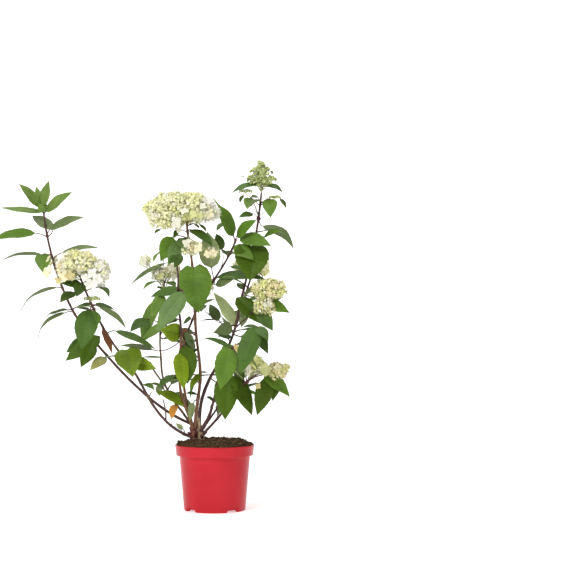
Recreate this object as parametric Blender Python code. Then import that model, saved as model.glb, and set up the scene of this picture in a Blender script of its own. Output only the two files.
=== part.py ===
# Panicle hydrangea in its nursery pot: pot, soil, short stub, stems, leaf masses and flower heads.
# Units are metres, +Z is up, the origin is the centre of the pot's flat underside, -Y is the front.
import math
import random

import bmesh
import bpy
from mathutils import Quaternion, Vector

for old in list(bpy.data.objects):
    bpy.data.objects.remove(old, do_unlink=True)

# ---------------------------------------------------------------- driving sizes

GAP = 0.0004             # clearance between neighbouring solids

# pot: injection moulded, 19 cm across the rim
RIM_R = 0.0952           # outer radius at the lip
RIM_FOOT_R = 0.0925      # outer radius at the rim band's lower edge
BAND_H = 0.0255          # height of the rim band
POT_H = 0.159            # height of the lip above the floor
NECK_R = 0.0849          # body radius just under the band
BASE_R = 0.0733          # body radius at the floor
WALL = 0.0018            # wall thickness
FLOOR_T = 0.0030         # thickness of the pot's floor
POT_SIDES = 40
NOTCH_W = 0.027          # drain notches in the base edge
NOTCH_H = 0.009
NOTCH_DEPTH = 0.010
NOTCH_ANGLES = (40.0, 130.0, 220.0, 310.0)

# soil: fills the pot, a little mounded in the middle
SOIL_EDGE_Z = 0.1530
SOIL_TOP_Z = 0.1672
SEAT_X = -0.0395         # flat place that the stub and the clump stand on
SOIL_SEAT_R = 0.0225
SOIL_SIDES = 40
SOIL_BUMP = 0.0014

# stub that the right-hand stems leave
STUB_X, STUB_Y = -0.0290, 0.0
STUB_Z0 = SOIL_TOP_Z + 0.0003
STUB_Z1 = 0.2240
STUB_R0, STUB_R1 = 0.0080, 0.0046
STUB_FLARE = 0.0020      # extra radius right at the soil
STUB_LEAN = -0.0105      # sideways shift of the top

# clump of old cut shoots beside it, which the left-hand stems leave
CLUMP_X, CLUMP_Y = -0.0500, 0.0015
CLUMP_Z1 = 0.2060
CLUMP_R0, CLUMP_R1 = 0.0086, 0.0062

STEM_SIDES = 6
CORE = 0.50              # how far a leaf mass fills in between its leaf tips
SHOULDER = 0.80          # reach of a lobe's shoulders
SHOULDER_ANGLE = math.radians(17.0)


# ---------------------------------------------------------------- limbs

class Limb:
    """A tapering limb. It leaves its foot and reaches its tip at given leans from
    the vertical (degrees, positive to the right), and drifts in depth on the way.
    Waves add a sideways and an upward sway of one, two, three... half waves."""

    def __init__(self, foot, tip, leans, pulls, radii, drift=1.3, waves=()):
        self.foot, self.tip = Vector(foot), Vector(tip)
        self.leans = [math.radians(a) for a in leans]
        self.pulls = pulls
        self.radii = radii
        self.drift = drift
        self.waves = waves
        self.span = math.hypot(tip[0] - foot[0], tip[2] - foot[2])

    def at(self, t):
        a, b = self.leans
        k0, k1 = self.pulls[0] * self.span, self.pulls[1] * self.span
        h00 = 2 * t ** 3 - 3 * t ** 2 + 1
        h10 = t ** 3 - 2 * t ** 2 + t
        h01 = -2 * t ** 3 + 3 * t ** 2
        h11 = t ** 3 - t ** 2
        x = h00 * self.foot.x + h10 * k0 * math.sin(a) + h01 * self.tip.x + h11 * k1 * math.sin(b)
        z = h00 * self.foot.z + h10 * k0 * math.cos(a) + h01 * self.tip.z + h11 * k1 * math.cos(b)
        for k, (wx, wz) in enumerate(self.waves):
            x += wx * math.sin(math.pi * (k + 1) * t)
            z += wz * math.sin(math.pi * (k + 1) * t)
        y = self.foot.y + (self.tip.y - self.foot.y) * max(t, 0.0) ** self.drift
        return Vector((x, y, z))

    def radius(self, t):
        return self.radii[0] + (self.radii[1] - self.radii[0]) * min(max(t, 0.0), 1.0)

    def t_at_height(self, z):
        lo, hi = 0.0, 1.0
        for _ in range(40):
            mid = 0.5 * (lo + hi)
            if self.at(mid).z < z:
                lo = mid
            else:
                hi = mid
        return 0.5 * (lo + hi)

    def at_height(self, z):
        return self.at(self.t_at_height(z))


# name: (foot, tip, leans, pulls, radii, drift)
LIMBS = {
    "stem_far_left": Limb((-0.0475, 0.0040, 0.2050), (-0.422, 0.050, 0.728), (-64, 0), (0.80, 1.10), (0.0032, 0.0016), 1.3,
        ((0.0010, -0.0003), (-0.0026, -0.0017), (0.0008, -0.0005), (-0.0022, -0.0014), (0.0005, -0.0005))),
    "stem_left": Limb((-0.0560, -0.0030, 0.1775), (-0.312, -0.130, 0.569), (-76, -20), (0.50, 1.10), (0.0031, 0.0015), 1.3,
        ((0.0029, 0.0019), (-0.0003, -0.0006), (-0.0036, -0.0019), (0.0009, 0.0005), (0.0015, 0.0009))),
    "stem_centre": Limb((-0.0468, 0.0010, 0.2055), (-0.067, 0.010, 0.702), (8, -5), (0.50, 0.50), (0.0034, 0.0017), 1.3,
        ((0.0062, 0.0001), (0.0021, -0.0002), (0.0007, 0.0000), (-0.0007, 0.0004), (-0.0023, -0.0004))),
    "stem_tall_right": Limb((-0.0376, 0.0020, 0.2165), (0.114, 0.090, 0.787), (5, 5), (0.50, 1.80), (0.0031, 0.0017), 1.3,
        ((0.0001, -0.0001), (-0.0024, 0.0010), (-0.0040, 0.0014), (0.0000, -0.0001), (0.0019, -0.0009))),
    "stem_mid_left": Limb((-0.0515, -0.0040, 0.1960), (-0.081, -0.150, 0.588), (-36, -8), (0.70, 0.50), (0.0027, 0.0014), 1.3,
        ((0.0030, 0.0002), (0.0004, 0.0001), (-0.0009, 0.0007), (0.0025, 0.0005), (0.0023, 0.0003))),
    "stem_mid_right": Limb((-0.0505, 0.0050, 0.1970), (0.052, 0.060, 0.662), (-22, 20), (1.80, 1.10), (0.0029, 0.0015), 1.3,
        ((0.0070, -0.0017), (0.0044, 0.0006), (0.0003, 0.0018), (-0.0001, 0.0003), (0.0007, -0.0005))),
    "stem_back_left": Limb((-0.0515, 0.0070, 0.2000), (-0.134, 0.170, 0.554), (-47, 0), (1.40, 1.80), (0.0024, 0.0012), 1.3,
        ((0.0049, 0.0016), (0.0039, 0.0021), (-0.0006, 0.0015), (0.0007, 0.0006), (0.0006, 0.0005))),
    "stem_front_right": Limb((-0.0290, -0.0040, 0.1985), (0.068, -0.130, 0.411), (30, 60), (1.60, 1.80), (0.0027, 0.0014), 1.3,
        ((0.0151, -0.0026), (-0.0057, 0.0015), (-0.0010, 0.0004), (0.0012, -0.0022), (0.0000, 0.0006))),
    "stem_low_right": Limb((-0.0250, -0.0030, 0.1880), (0.107, -0.050, 0.334), (42, 60), (1.80, 1.10), (0.0027, 0.0014), 1.3,
        ((0.0029, -0.0022), (0.0007, -0.0001), (0.0001, -0.0002), (-0.0001, 0.0002), (0.0006, -0.0007))),
    "stem_back_right": Limb((-0.0350, 0.0085, 0.2080), (0.086, 0.235, 0.572), (14, 12), (0.60, 1.00), (0.0027, 0.0014), 1.0,
        ((-0.0074, 0.0028), (-0.0064, 0.0023), (-0.0037, 0.0012), (0.0013, -0.0005), (0.0002, -0.0004))),
    "stem_back_centre": Limb((-0.0440, 0.0060, 0.2030), (-0.056, 0.225, 0.520), (-30, 0), (0.80, 1.00), (0.0025, 0.0013), 1.0,
        ((0.0222, -0.0005), (0.0076, 0.0010), (-0.0022, 0.0013), (-0.0002, 0.0004), (-0.0006, 0.0002))),
    "stem_back_low_right": Limb((-0.0280, 0.0060, 0.1950), (0.080, 0.205, 0.300), (45, 40), (0.90, 0.80), (0.0023, 0.0013), 1.0,
        ((-0.0077, 0.0077), (-0.0005, 0.0004), (0.0003, -0.0004), (0.0001, -0.0001), (0.0002, -0.0003))),
    "stem_back_low_left": Limb((-0.0530, 0.0060, 0.1980), (-0.170, 0.185, 0.352), (-60, -20), (0.90, 0.80), (0.0023, 0.0013), 1.0,
        ((0.0103, 0.0065), (0.0013, 0.0023), (-0.0002, 0.0005), (0.0014, 0.0011), (-0.0003, -0.0000))),
}
# a side branch near the top of the tall stem, which carries the right flower head
_fork = LIMBS["stem_tall_right"].at_height(0.440)
LIMBS["twig_right"] = Limb(tuple(_fork), (0.112, 0.000, 0.515), (48, 12), (1.0, 0.9), (0.0017, 0.0012))

SPLIT = {"stem_far_left": ("stem_far_left_low", "stem_far_left_high", 0.395)}
STOP_SHORT = 0.012       # a limb ends this far inside its last mass

# ---------------------------------------------------------------- leaf masses and flower heads
# name: (limb, height on it, reach to left, right, front, back, down, up)  in mm
LEAVES = {
    "leaves_far_left_tip": ("stem_far_left", 0.728, 105, 74, 58, 62, 24, 68),
    "leaves_far_left_upper": ("stem_far_left", 0.664, 134, 90, 48, 50, 20, 46),
    "leaves_far_left_middle": ("stem_far_left", 0.612, 132, 118, 46, 55, 34, 14),
    "leaves_far_left_lower": ("stem_far_left", 0.490, 108, 30, 48, 50, 74, 30),
    "leaves_left_upper": ("stem_left", 0.446, 92, 74, 62, 46, 88, 50),
    "leaves_left_middle": ("stem_left", 0.392, 68, 108, 56, 52, 54, 26),
    "leaves_left_low": ("stem_left", 0.318, 34, 50, 62, 40, 12, 62),
    "leaves_back_left_middle": ("stem_back_left", 0.458, 62, 56, 46, 58, 64, 54),
    "leaves_back_left_top": ("stem_back_left", 0.545, 84, 36, 40, 60, 24, 56),
    "leaves_mid_left_top": ("stem_mid_left", 0.586, 50, 22, 44, 40, 16, 74),
    "leaves_mid_left_middle": ("stem_mid_left", 0.436, 46, 40, 52, 30, 28, 34),
    "leaves_mid_left_low": ("stem_mid_left", 0.352, 54, 34, 80, 26, 58, 40),
    "leaves_centre_top": ("stem_centre", 0.640, 26, 52, 44, 46, 24, 22),
    "leaves_centre": ("stem_centre", 0.575, 34, 58, 78, 42, 98, 18),
    "leaves_centre_low": ("stem_centre", 0.312, 34, 26, 34, 34, 42, 26),
    "leaves_mid_right_top": ("stem_mid_right", 0.655, 72, 50, 48, 62, 22, 102),
    "leaves_mid_right_fork": ("stem_mid_right", 0.564, 42, 80, 40, 48, 26, 112),
    "leaves_tall_right_top": ("stem_tall_right", 0.740, 64, 84, 52, 62, 92, 40),
    "leaves_tall_right_upper": ("stem_tall_right", 0.598, 52, 78, 76, 52, 50, 62),
    "leaves_tall_right_middle": ("stem_tall_right", 0.500, 66, 58, 60, 52, 78, 32),
    "leaves_front_right": ("stem_front_right", 0.394, 78, 34, 62, 40, 108, 14),
    "leaves_front_right_tip": ("stem_front_right", 0.408, 20, 72, 52, 50, 82, 34),
    "leaves_twig_right": ("twig_right", 0.494, 16, 74, 56, 46, 56, 12),
    "leaves_low_right": ("stem_low_right", 0.312, 50, 52, 36, 48, 98, 12),
    "leaves_low_right_tip": ("stem_low_right", 0.333, 14, 76, 60, 56, 98, 18),
    "leaves_back_right_top": ("stem_back_right", 0.556, 50, 62, 48, 84, 52, 24),
    "leaves_back_right_middle": ("stem_back_right", 0.450, 54, 66, 40, 88, 64, 34),
    "leaves_back_centre_top": ("stem_back_centre", 0.500, 64, 46, 44, 84, 40, 26),
    "leaves_back_centre_middle": ("stem_back_centre", 0.418, 60, 56, 40, 84, 60, 32),
    "leaves_back_centre_low": ("stem_back_centre", 0.346, 56, 56, 34, 76, 48, 30),
    "leaves_back_low_right": ("stem_back_low_right", 0.300, 60, 62, 52, 84, 62, 52),
    "leaves_back_low_left": ("stem_back_low_left", 0.352, 62, 58, 44, 84, 44, 48),
}
BLOOMS = {
    "bloom_left": ("stem_left", 0.566, 92, 84, 66, 62, 40, 50),
    "bloom_centre": ("stem_centre", 0.702, 104, 82, 78, 76, 22, 62),
    "bloom_centre_low": ("stem_mid_right", 0.610, 60, 8, 40, 10, 6, 34),
    "bloom_back_left": ("stem_back_left", 0.556, 60, 30, 32, 40, 4, 42),
    "bloom_bud": ("stem_tall_right", 0.786, 36, 36, 34, 34, 6, 66),
    "bloom_low_right": ("stem_low_right", 0.333, 12, 84, 48, 46, 26, 38),
    "bloom_right": ("twig_right", 0.515, 38, 52, 46, 46, 44, 46),
    "bloom_back_right": ("stem_back_right", 0.572, 38, 38, 42, 46, 16, 56),
    "bloom_back_centre": ("stem_back_centre", 0.520, 46, 40, 40, 44, 16, 52),
}
# The masses of the shoots that lean out past the pot are thin pads: the share of the reach to the front and
# back that is left to them, so that the weight stays over the pot.
PAD = {"stem_far_left": 0.40, "stem_left": 0.52, "stem_back_left": 0.48, "stem_back_low_left": 0.46,
       "stem_back_centre": 0.52, "stem_back_right": 0.52, "stem_back_low_right": 0.52, "stem_mid_left": 0.80}
# leaf whorls that end a shoot: the pairs point up and out; the others hang out sideways
UPWARD = {"leaves_far_left_tip", "leaves_mid_right_top", "leaves_mid_right_fork", "leaves_mid_left_top"}

COLOURS = {
    "pot": (0.62, 0.035, 0.055), "soil": (0.085, 0.048, 0.024), "stem": (0.090, 0.040, 0.030),
    "stub": (0.26, 0.17, 0.10), "leaf": (0.095, 0.205, 0.040), "bloom": (0.82, 0.78, 0.55),
    "bud": (0.42, 0.48, 0.20),
}
FINISH = {"pot": 0.22, "soil": 0.95, "stem": 0.6, "stub": 0.8, "leaf": 0.5, "bloom": 0.65, "bud": 0.65}


# ---------------------------------------------------------------- mesh helpers

def put(name, bm, kind, smooth=False):
    bmesh.ops.recalc_face_normals(bm, faces=bm.faces)
    if bm.calc_volume(signed=True) < 0.0:
        bmesh.ops.reverse_faces(bm, faces=bm.faces)
    mesh = bpy.data.meshes.new(name)
    bm.to_mesh(mesh)
    bm.free()
    ob = bpy.data.objects.new(name, mesh)
    bpy.context.scene.collection.objects.link(ob)
    if kind:
        mat = bpy.data.materials.new(name)
        mat.use_nodes = True
        bsdf = mat.node_tree.nodes["Principled BSDF"]
        bsdf.inputs["Base Color"].default_value = (*COLOURS[kind], 1.0)
        bsdf.inputs["Roughness"].default_value = FINISH[kind]
        bsdf.inputs["Metallic"].default_value = 0.0
        mesh.materials.append(mat)
    if smooth:
        mesh.shade_smooth()
        mesh.set_sharp_from_angle(angle=math.radians(35.0))
    return ob


def turned(profile, sides, jitter=None):
    """Solid of revolution of a profile (radius, height) that starts and ends on the axis."""
    bm = bmesh.new()
    rings = []
    for i, (r, z) in enumerate(profile):
        if r < 1e-9:
            rings.append([bm.verts.new((0.0, 0.0, z))])
            continue
        ring = []
        for k in range(sides):
            a = 2.0 * math.pi * k / sides
            dz = jitter(i, k) if jitter else 0.0
            ring.append(bm.verts.new((r * math.cos(a), r * math.sin(a), z + dz)))
        rings.append(ring)
    for lower, upper in zip(rings, rings[1:]):
        n = max(len(lower), len(upper))
        for k in range(n):
            k2 = (k + 1) % n
            if len(lower) == 1:
                bm.faces.new((lower[0], upper[k], upper[k2]))
            elif len(upper) == 1:
                bm.faces.new((lower[k], lower[k2], upper[0]))
            else:
                bm.faces.new((lower[k], lower[k2], upper[k2], upper[k]))
    return bm


def tube(centres, radii, sides):
    """Closed tube through centres, its rings turned as little as possible on the way."""
    bm = bmesh.new()
    n = len(centres)
    side = None
    rings = []
    for i in range(n):
        tan = (centres[min(i + 1, n - 1)] - centres[max(i - 1, 0)]).normalized()
        if side is None:
            side = tan.orthogonal().normalized()
        side = (side - tan * side.dot(tan)).normalized()
        other = tan.cross(side)
        rings.append([bm.verts.new(centres[i] + (side * math.cos(a) + other * math.sin(a)) * radii[i])
                      for a in (2.0 * math.pi * k / sides for k in range(sides))])
    for a, b in zip(rings, rings[1:]):
        for k in range(sides):
            k2 = (k + 1) % sides
            bm.faces.new((a[k], a[k2], b[k2], b[k]))
    bm.faces.new(list(reversed(rings[0])))
    bm.faces.new(rings[-1])
    return bm


def limb_tube(limb, t0, t1, rings, sides, grow=0.0):
    pts = [limb.at(t0 + (t1 - t0) * i / (rings - 1)) for i in range(rings)]
    rad = [limb.radius(t0 + (t1 - t0) * i / (rings - 1)) + grow for i in range(rings)]
    if grow:
        pts[0] = pts[0] + (pts[0] - pts[1]).normalized() * grow
        pts[-1] = pts[-1] + (pts[-1] - pts[-2]).normalized() * grow
    return tube(pts, rad, sides)


def stub_tube(grow=0.0):
    rings = 6
    pts, rad = [], []
    for i in range(rings):
        t = i / (rings - 1)
        pts.append(Vector((STUB_X + STUB_LEAN * t ** 1.5, STUB_Y, STUB_Z0 + (STUB_Z1 - STUB_Z0) * t)))
        rad.append(STUB_R0 + (STUB_R1 - STUB_R0) * t + STUB_FLARE * math.exp(-t * 7.0) + grow)
    # a level cut at the soil: the first two rings share one axis
    pts[1].x = pts[0].x
    if grow:
        pts[0].z -= grow
        pts[-1].z += grow
    return tube(pts, rad, 10)


def clump_tube(grow=0.0):
    rings = 6
    pts, rad = [], []
    for i in range(rings):
        t = i / (rings - 1)
        pts.append(Vector((CLUMP_X, CLUMP_Y, STUB_Z0 + (CLUMP_Z1 - STUB_Z0) * t)))
        rad.append(CLUMP_R0 + (CLUMP_R1 - CLUMP_R0) * t ** 2 + grow)
    if grow:
        pts[0].z -= grow
        pts[-1].z += grow
    return tube(pts, rad, 10)


def sphere_points(n):
    golden = math.pi * (3.0 - math.sqrt(5.0))
    for i in range(n):
        z = 1.0 - 2.0 * (i + 0.5) / n
        r = math.sqrt(1.0 - z * z)
        yield Vector((r * math.cos(golden * i), r * math.sin(golden * i), z))


def lobe_directions(upward, rng):
    """Leaf pairs set crosswise, three storeys, and the shoot's own end."""
    dirs = [Vector((0, 0, 1)), Vector((0, 0, -1))]
    for k in range(4):
        a = math.radians(90.0 * k)
        dirs.append(Vector((math.cos(a), math.sin(a), 0.0)))
    for k in range(4):
        a = math.radians(45.0 + 90.0 * k + rng.uniform(-12, 12))
        e = math.radians((40.0 if upward else -28.0) + rng.uniform(-8, 8))
        dirs.append(Vector((math.cos(a) * math.cos(e), math.sin(a) * math.cos(e), math.sin(e))))
    return [d.normalized() for d in dirs]


def lump(centre, reach_mm, seed, lobed, upward=False, shrink=1.0):
    """Uneven solid around its centre. Its outline is an egg with a reach of its own in
    each of six directions; a leaf mass is drawn in between its lobes."""
    left, right, front, back, down, up = (v / 1000.0 for v in reach_mm)
    rng = random.Random(seed)

    def egg(u):
        ax = right if u.x > 0 else left
        ay = back if u.y > 0 else front
        az = up if u.z > 0 else down
        return 1.0 / math.sqrt((u.x / ax) ** 2 + (u.y / ay) ** 2 + (u.z / az) ** 2)

    dirs = []
    if lobed:
        lobes = lobe_directions(upward, rng)
        for d in lobes:
            dirs.append((d, 1.0))
        for d in lobes[2:]:
            side = d.orthogonal().normalized()
            side.rotate(Quaternion(d, rng.uniform(0, 2.1)))
            for k in range(3):
                s = side.copy()
                s.rotate(Quaternion(d, 2.0 * math.pi * k / 3.0))
                dirs.append(((d * math.cos(SHOULDER_ANGLE) + s * math.sin(SHOULDER_ANGLE)).normalized(),
                             SHOULDER + rng.uniform(-0.06, 0.06)))
        for d in sphere_points(20):
            if all(d.angle(e) > math.radians(19.0) for e, _ in dirs):
                dirs.append((d, CORE + rng.uniform(-0.06, 0.06)))
    else:
        for d in sphere_points(32):
            dirs.append((d, 1.0 - rng.uniform(0.0, 0.12)))
        for k in range(6):
            axis = Vector([(1, 0, 0), (-1, 0, 0), (0, 1, 0), (0, -1, 0), (0, 0, 1), (0, 0, -1)][k])
            dirs = [(d, f) for d, f in dirs if d.angle(axis) > math.radians(12.0)]
            dirs.append((axis, 1.0))
    bm = bmesh.new()
    factor = {}
    for d, f in dirs:
        v = bm.verts.new(d)
        factor[v] = (d, f)
    bmesh.ops.convex_hull(bm, input=bm.verts)
    for v in bm.verts:
        d, f = factor[v]
        v.co = Vector(centre) + d * egg(d) * f * shrink
    return bm


def islands(bm):
    seen, out = set(), []
    for v in bm.verts:
        if v in seen:
            continue
        stack, part = [v], set()
        while stack:
            w = stack.pop()
            if w in part:
                continue
            part.add(w)
            stack.extend(e.other_vert(w) for e in w.link_edges if e.other_vert(w) not in part)
        seen |= part
        faces = {f for w in part for f in w.link_faces}
        vol = 0.0
        for f in faces:
            vs = [x.co for x in f.verts]
            for i in range(1, len(vs) - 1):
                vol += vs[0].dot(vs[i].cross(vs[i + 1])) / 6.0
        out.append((abs(vol), part))
    return sorted(out, key=lambda p: -p[0])


def box_of(ob):
    xs = [v.co for v in ob.data.vertices]
    return [min(c[i] for c in xs) for i in range(3)], [max(c[i] for c in xs) for i in range(3)]


def near(a, b, pad=0.001):
    (alo, ahi), (blo, bhi) = box_of(a), box_of(b)
    return all(alo[i] - pad < bhi[i] and blo[i] - pad < ahi[i] for i in range(3))


def carve(ob, cutters):
    """Cut an object back from its neighbours and keep its main piece."""
    used = [c for c in cutters if near(ob, c)]
    if not used:
        return
    for c in used:
        mod = ob.modifiers.new("cut", "BOOLEAN")
        mod.operation = "DIFFERENCE"
        mod.solver = "EXACT"
        mod.object = c
    graph = bpy.context.evaluated_depsgraph_get()
    mesh = bpy.data.meshes.new_from_object(ob.evaluated_get(graph))
    ob.modifiers.clear()
    bm = bmesh.new()
    bm.from_mesh(mesh)
    bmesh.ops.remove_doubles(bm, verts=bm.verts, dist=0.00002)
    bmesh.ops.dissolve_degenerate(bm, edges=bm.edges, dist=0.00002)
    parts = islands(bm)
    if len(parts) > 1:
        drop = [v for _, part in parts[1:] for v in part]
        bmesh.ops.delete(bm, geom=drop, context="VERTS")
    bm.to_mesh(mesh)
    bm.free()
    keep = list(ob.data.materials)
    ob.data = mesh
    mesh.materials.clear()
    for m in keep:
        mesh.materials.append(m)


# ---------------------------------------------------------------- pot

outer = [(0.0, 0.0), (BASE_R - 0.0012, 0.0), (BASE_R, 0.0012),
         (NECK_R, POT_H - BAND_H - 0.0012), (RIM_FOOT_R - 0.0010, POT_H - BAND_H),
         (RIM_FOOT_R, POT_H - BAND_H + 0.0010), (RIM_R, POT_H - 0.0012), (RIM_R - 0.0009, POT_H)]
inner = [(RIM_R - WALL - 0.0006, POT_H), (RIM_R - WALL - 0.0006, POT_H - 0.0020),
         (RIM_FOOT_R - WALL - 0.0010, POT_H - BAND_H + WALL + 0.0010),
         (NECK_R - WALL, POT_H - BAND_H - 0.0010), (BASE_R - WALL, FLOOR_T + 0.0010), (0.0, FLOOR_T)]
pot = put("pot", turned(outer + inner, POT_SIDES), "pot")

notches = []
for k, ang in enumerate(NOTCH_ANGLES):
    bm = bmesh.new()
    bmesh.ops.create_cube(bm, size=1.0)
    a = math.radians(ang)
    for v in bm.verts:
        x = v.co.x * NOTCH_DEPTH * 2.0 + BASE_R
        y = v.co.y * NOTCH_W * (0.75 if v.co.z > 0 else 1.0)
        z = v.co.z * NOTCH_H * 2.0
        v.co = Vector((x * math.cos(a) - y * math.sin(a), x * math.sin(a) + y * math.cos(a), z))
    cut = put("notch_%d" % k, bm, None)
    cut.hide_render = True
    cut.display_type = "WIRE"
    notches.append(cut)

# ---------------------------------------------------------------- soil

rng = random.Random(11)
bumps = {(i, k): rng.uniform(-SOIL_BUMP, SOIL_BUMP) for i in range(12) for k in range(SOIL_SIDES)}
in_base = BASE_R - WALL - GAP
in_neck = NECK_R - WALL - GAP
neck_z = POT_H - BAND_H - 0.0008
rise = SOIL_TOP_Z - SOIL_EDGE_Z
soil_profile = [(0.0, FLOOR_T + GAP), (in_base, FLOOR_T + GAP + 0.0012), (in_neck, neck_z),
                (RIM_FOOT_R - WALL - GAP - 0.0017, POT_H - BAND_H + WALL + 0.0022),
                (RIM_R - WALL - 0.0026, SOIL_EDGE_Z),
                (0.083, SOIL_EDGE_Z + 0.50 * rise), (0.068, SOIL_EDGE_Z + 0.82 * rise)]
bm = turned(soil_profile + [(0.0, SOIL_TOP_Z)], SOIL_SIDES,
            lambda i, k: bumps[(i, k)] if i >= 4 else 0.0)
top = [v for v in bm.verts if v.co.z > SOIL_TOP_Z - 1e-6 and v.co.xy.length < 1e-6][0]
# the crown of the mound is level around the stub and clump, which stand beside the pot's axis
top_faces = [f for f in bm.faces if top in f.verts]
bmesh.ops.delete(bm, geom=[top], context="VERTS")
ring = [v for v in bm.verts if any(e.is_boundary for e in v.link_edges)]
ring.sort(key=lambda v: math.atan2(v.co.y, v.co.x))
seat = []
for v in ring:
    a = math.atan2(v.co.y, v.co.x)
    seat.append(bm.verts.new((SEAT_X + SOIL_SEAT_R * math.cos(a), STUB_Y + SOIL_SEAT_R * math.sin(a), SOIL_TOP_Z)))
for k in range(len(ring)):
    k2 = (k + 1) % len(ring)
    bm.faces.new((ring[k], ring[k2], seat[k2], seat[k]))
bm.faces.new(seat)
soil = put("soil", bm, "soil")

# ---------------------------------------------------------------- stub and stems

stub = put("stem_base", stub_tube(), "stub", smooth=True)
clump = put("stem_clump", clump_tube(), "stem", smooth=True)
cutters = [put("cut_stub", stub_tube(GAP), None), put("cut_clump", clump_tube(GAP), None)]
stems = []
for name, limb in LIMBS.items():
    end = 1.0 - STOP_SHORT / limb.span
    rings = max(6, int(round(limb.span / 0.050)) + 1)
    if name in SPLIT:
        low, high, z_split = SPLIT[name]
        ts = limb.t_at_height(z_split)
        dt = 0.5 * GAP / limb.span
        pieces = [(low, 0.0, ts - dt, rings // 2 + 1), (high, ts + dt, end, rings // 2 + 1)]
    else:
        pieces = [(name, 0.0, end, rings)]
    fresh = []
    for pname, t0, t1, n in pieces:
        ob = put(pname, limb_tube(limb, t0, t1, n, STEM_SIDES), "stem", smooth=True)
        carve(ob, cutters)
        stems.append(ob)
        fresh.append(put("cut_" + pname, limb_tube(limb, t0, t1, n, STEM_SIDES, GAP), None))
    cutters.extend(fresh)

# ---------------------------------------------------------------- flower heads, then leaf masses

masses = []
mass_cutters = []
seed = 100
for table, lobed in ((BLOOMS, False), (LEAVES, True)):
    for name, row in table.items():
        seed += 1
        limb = LIMBS[row[0]]
        centre = limb.at_height(row[1])
        up = name in UPWARD
        pad = PAD.get(row[0], 1.0)
        reach = (row[2], row[3], row[4] * pad, row[5] * pad, row[6], row[7])
        kind = "leaf" if lobed else ("bud" if name == "bloom_bud" else "bloom")
        ob = put(name, lump(centre, reach, seed, lobed, up), kind)
        carve(ob, cutters + mass_cutters)
        masses.append(ob)
        mass_cutters.append(put("cut_" + name, lump(centre, reach, seed, lobed, up, 1.05), None))

for ob in cutters + mass_cutters:
    bpy.data.objects.remove(ob, do_unlink=True)

# drain notches stay as live cuts in the pot's base edge
for cut in notches:
    mod = pot.modifiers.new("notch", "BOOLEAN")
    mod.operation = "DIFFERENCE"
    mod.solver = "EXACT"
    mod.object = cut
for ob in (pot, soil):
    ob.data.shade_smooth()
    ob.data.set_sharp_from_angle(angle=math.radians(30.0))
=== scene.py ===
import math
import random

import bpy
from mathutils import Matrix
import numpy as np


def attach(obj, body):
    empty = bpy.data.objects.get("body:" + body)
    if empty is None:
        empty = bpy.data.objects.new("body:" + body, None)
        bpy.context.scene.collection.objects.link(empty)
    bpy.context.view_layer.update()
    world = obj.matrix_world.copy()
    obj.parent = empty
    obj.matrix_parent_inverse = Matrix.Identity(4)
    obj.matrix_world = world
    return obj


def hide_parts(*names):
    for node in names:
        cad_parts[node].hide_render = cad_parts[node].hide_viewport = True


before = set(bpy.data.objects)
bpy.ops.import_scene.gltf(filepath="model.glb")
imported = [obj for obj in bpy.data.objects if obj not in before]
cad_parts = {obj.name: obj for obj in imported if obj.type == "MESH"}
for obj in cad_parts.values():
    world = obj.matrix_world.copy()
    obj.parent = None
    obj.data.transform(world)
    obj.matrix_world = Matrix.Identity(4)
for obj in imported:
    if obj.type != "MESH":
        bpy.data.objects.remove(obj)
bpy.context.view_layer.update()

# ------------------------------------------------------------------ camera and the view it gives

EYE = np.array([0.184, -4.2, 0.534])     # level camera, looks along +Y
FRAME_PX = 580.0
FOCAL_PX = 1728.3
CENTRE_PX = 290.0


def at_px(px, py, y):
    """The point at depth y that the camera sees at picture coordinates px, py."""
    k = (y - EYE[1]) / FOCAL_PX
    return np.array([EYE[0] + (px - CENTRE_PX) * k, y, EYE[2] - (py - CENTRE_PX) * k])


def to_px(p):
    k = FOCAL_PX / (p[1] - EYE[1])
    return np.array([CENTRE_PX + (p[0] - EYE[0]) * k, CENTRE_PX - (p[2] - EYE[2]) * k])


def unit(v):
    v = np.asarray(v, float)
    return v / max(1e-12, float(np.linalg.norm(v)))


# ------------------------------------------------------------------ limbs: the same rule and sizes as the solids

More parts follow.
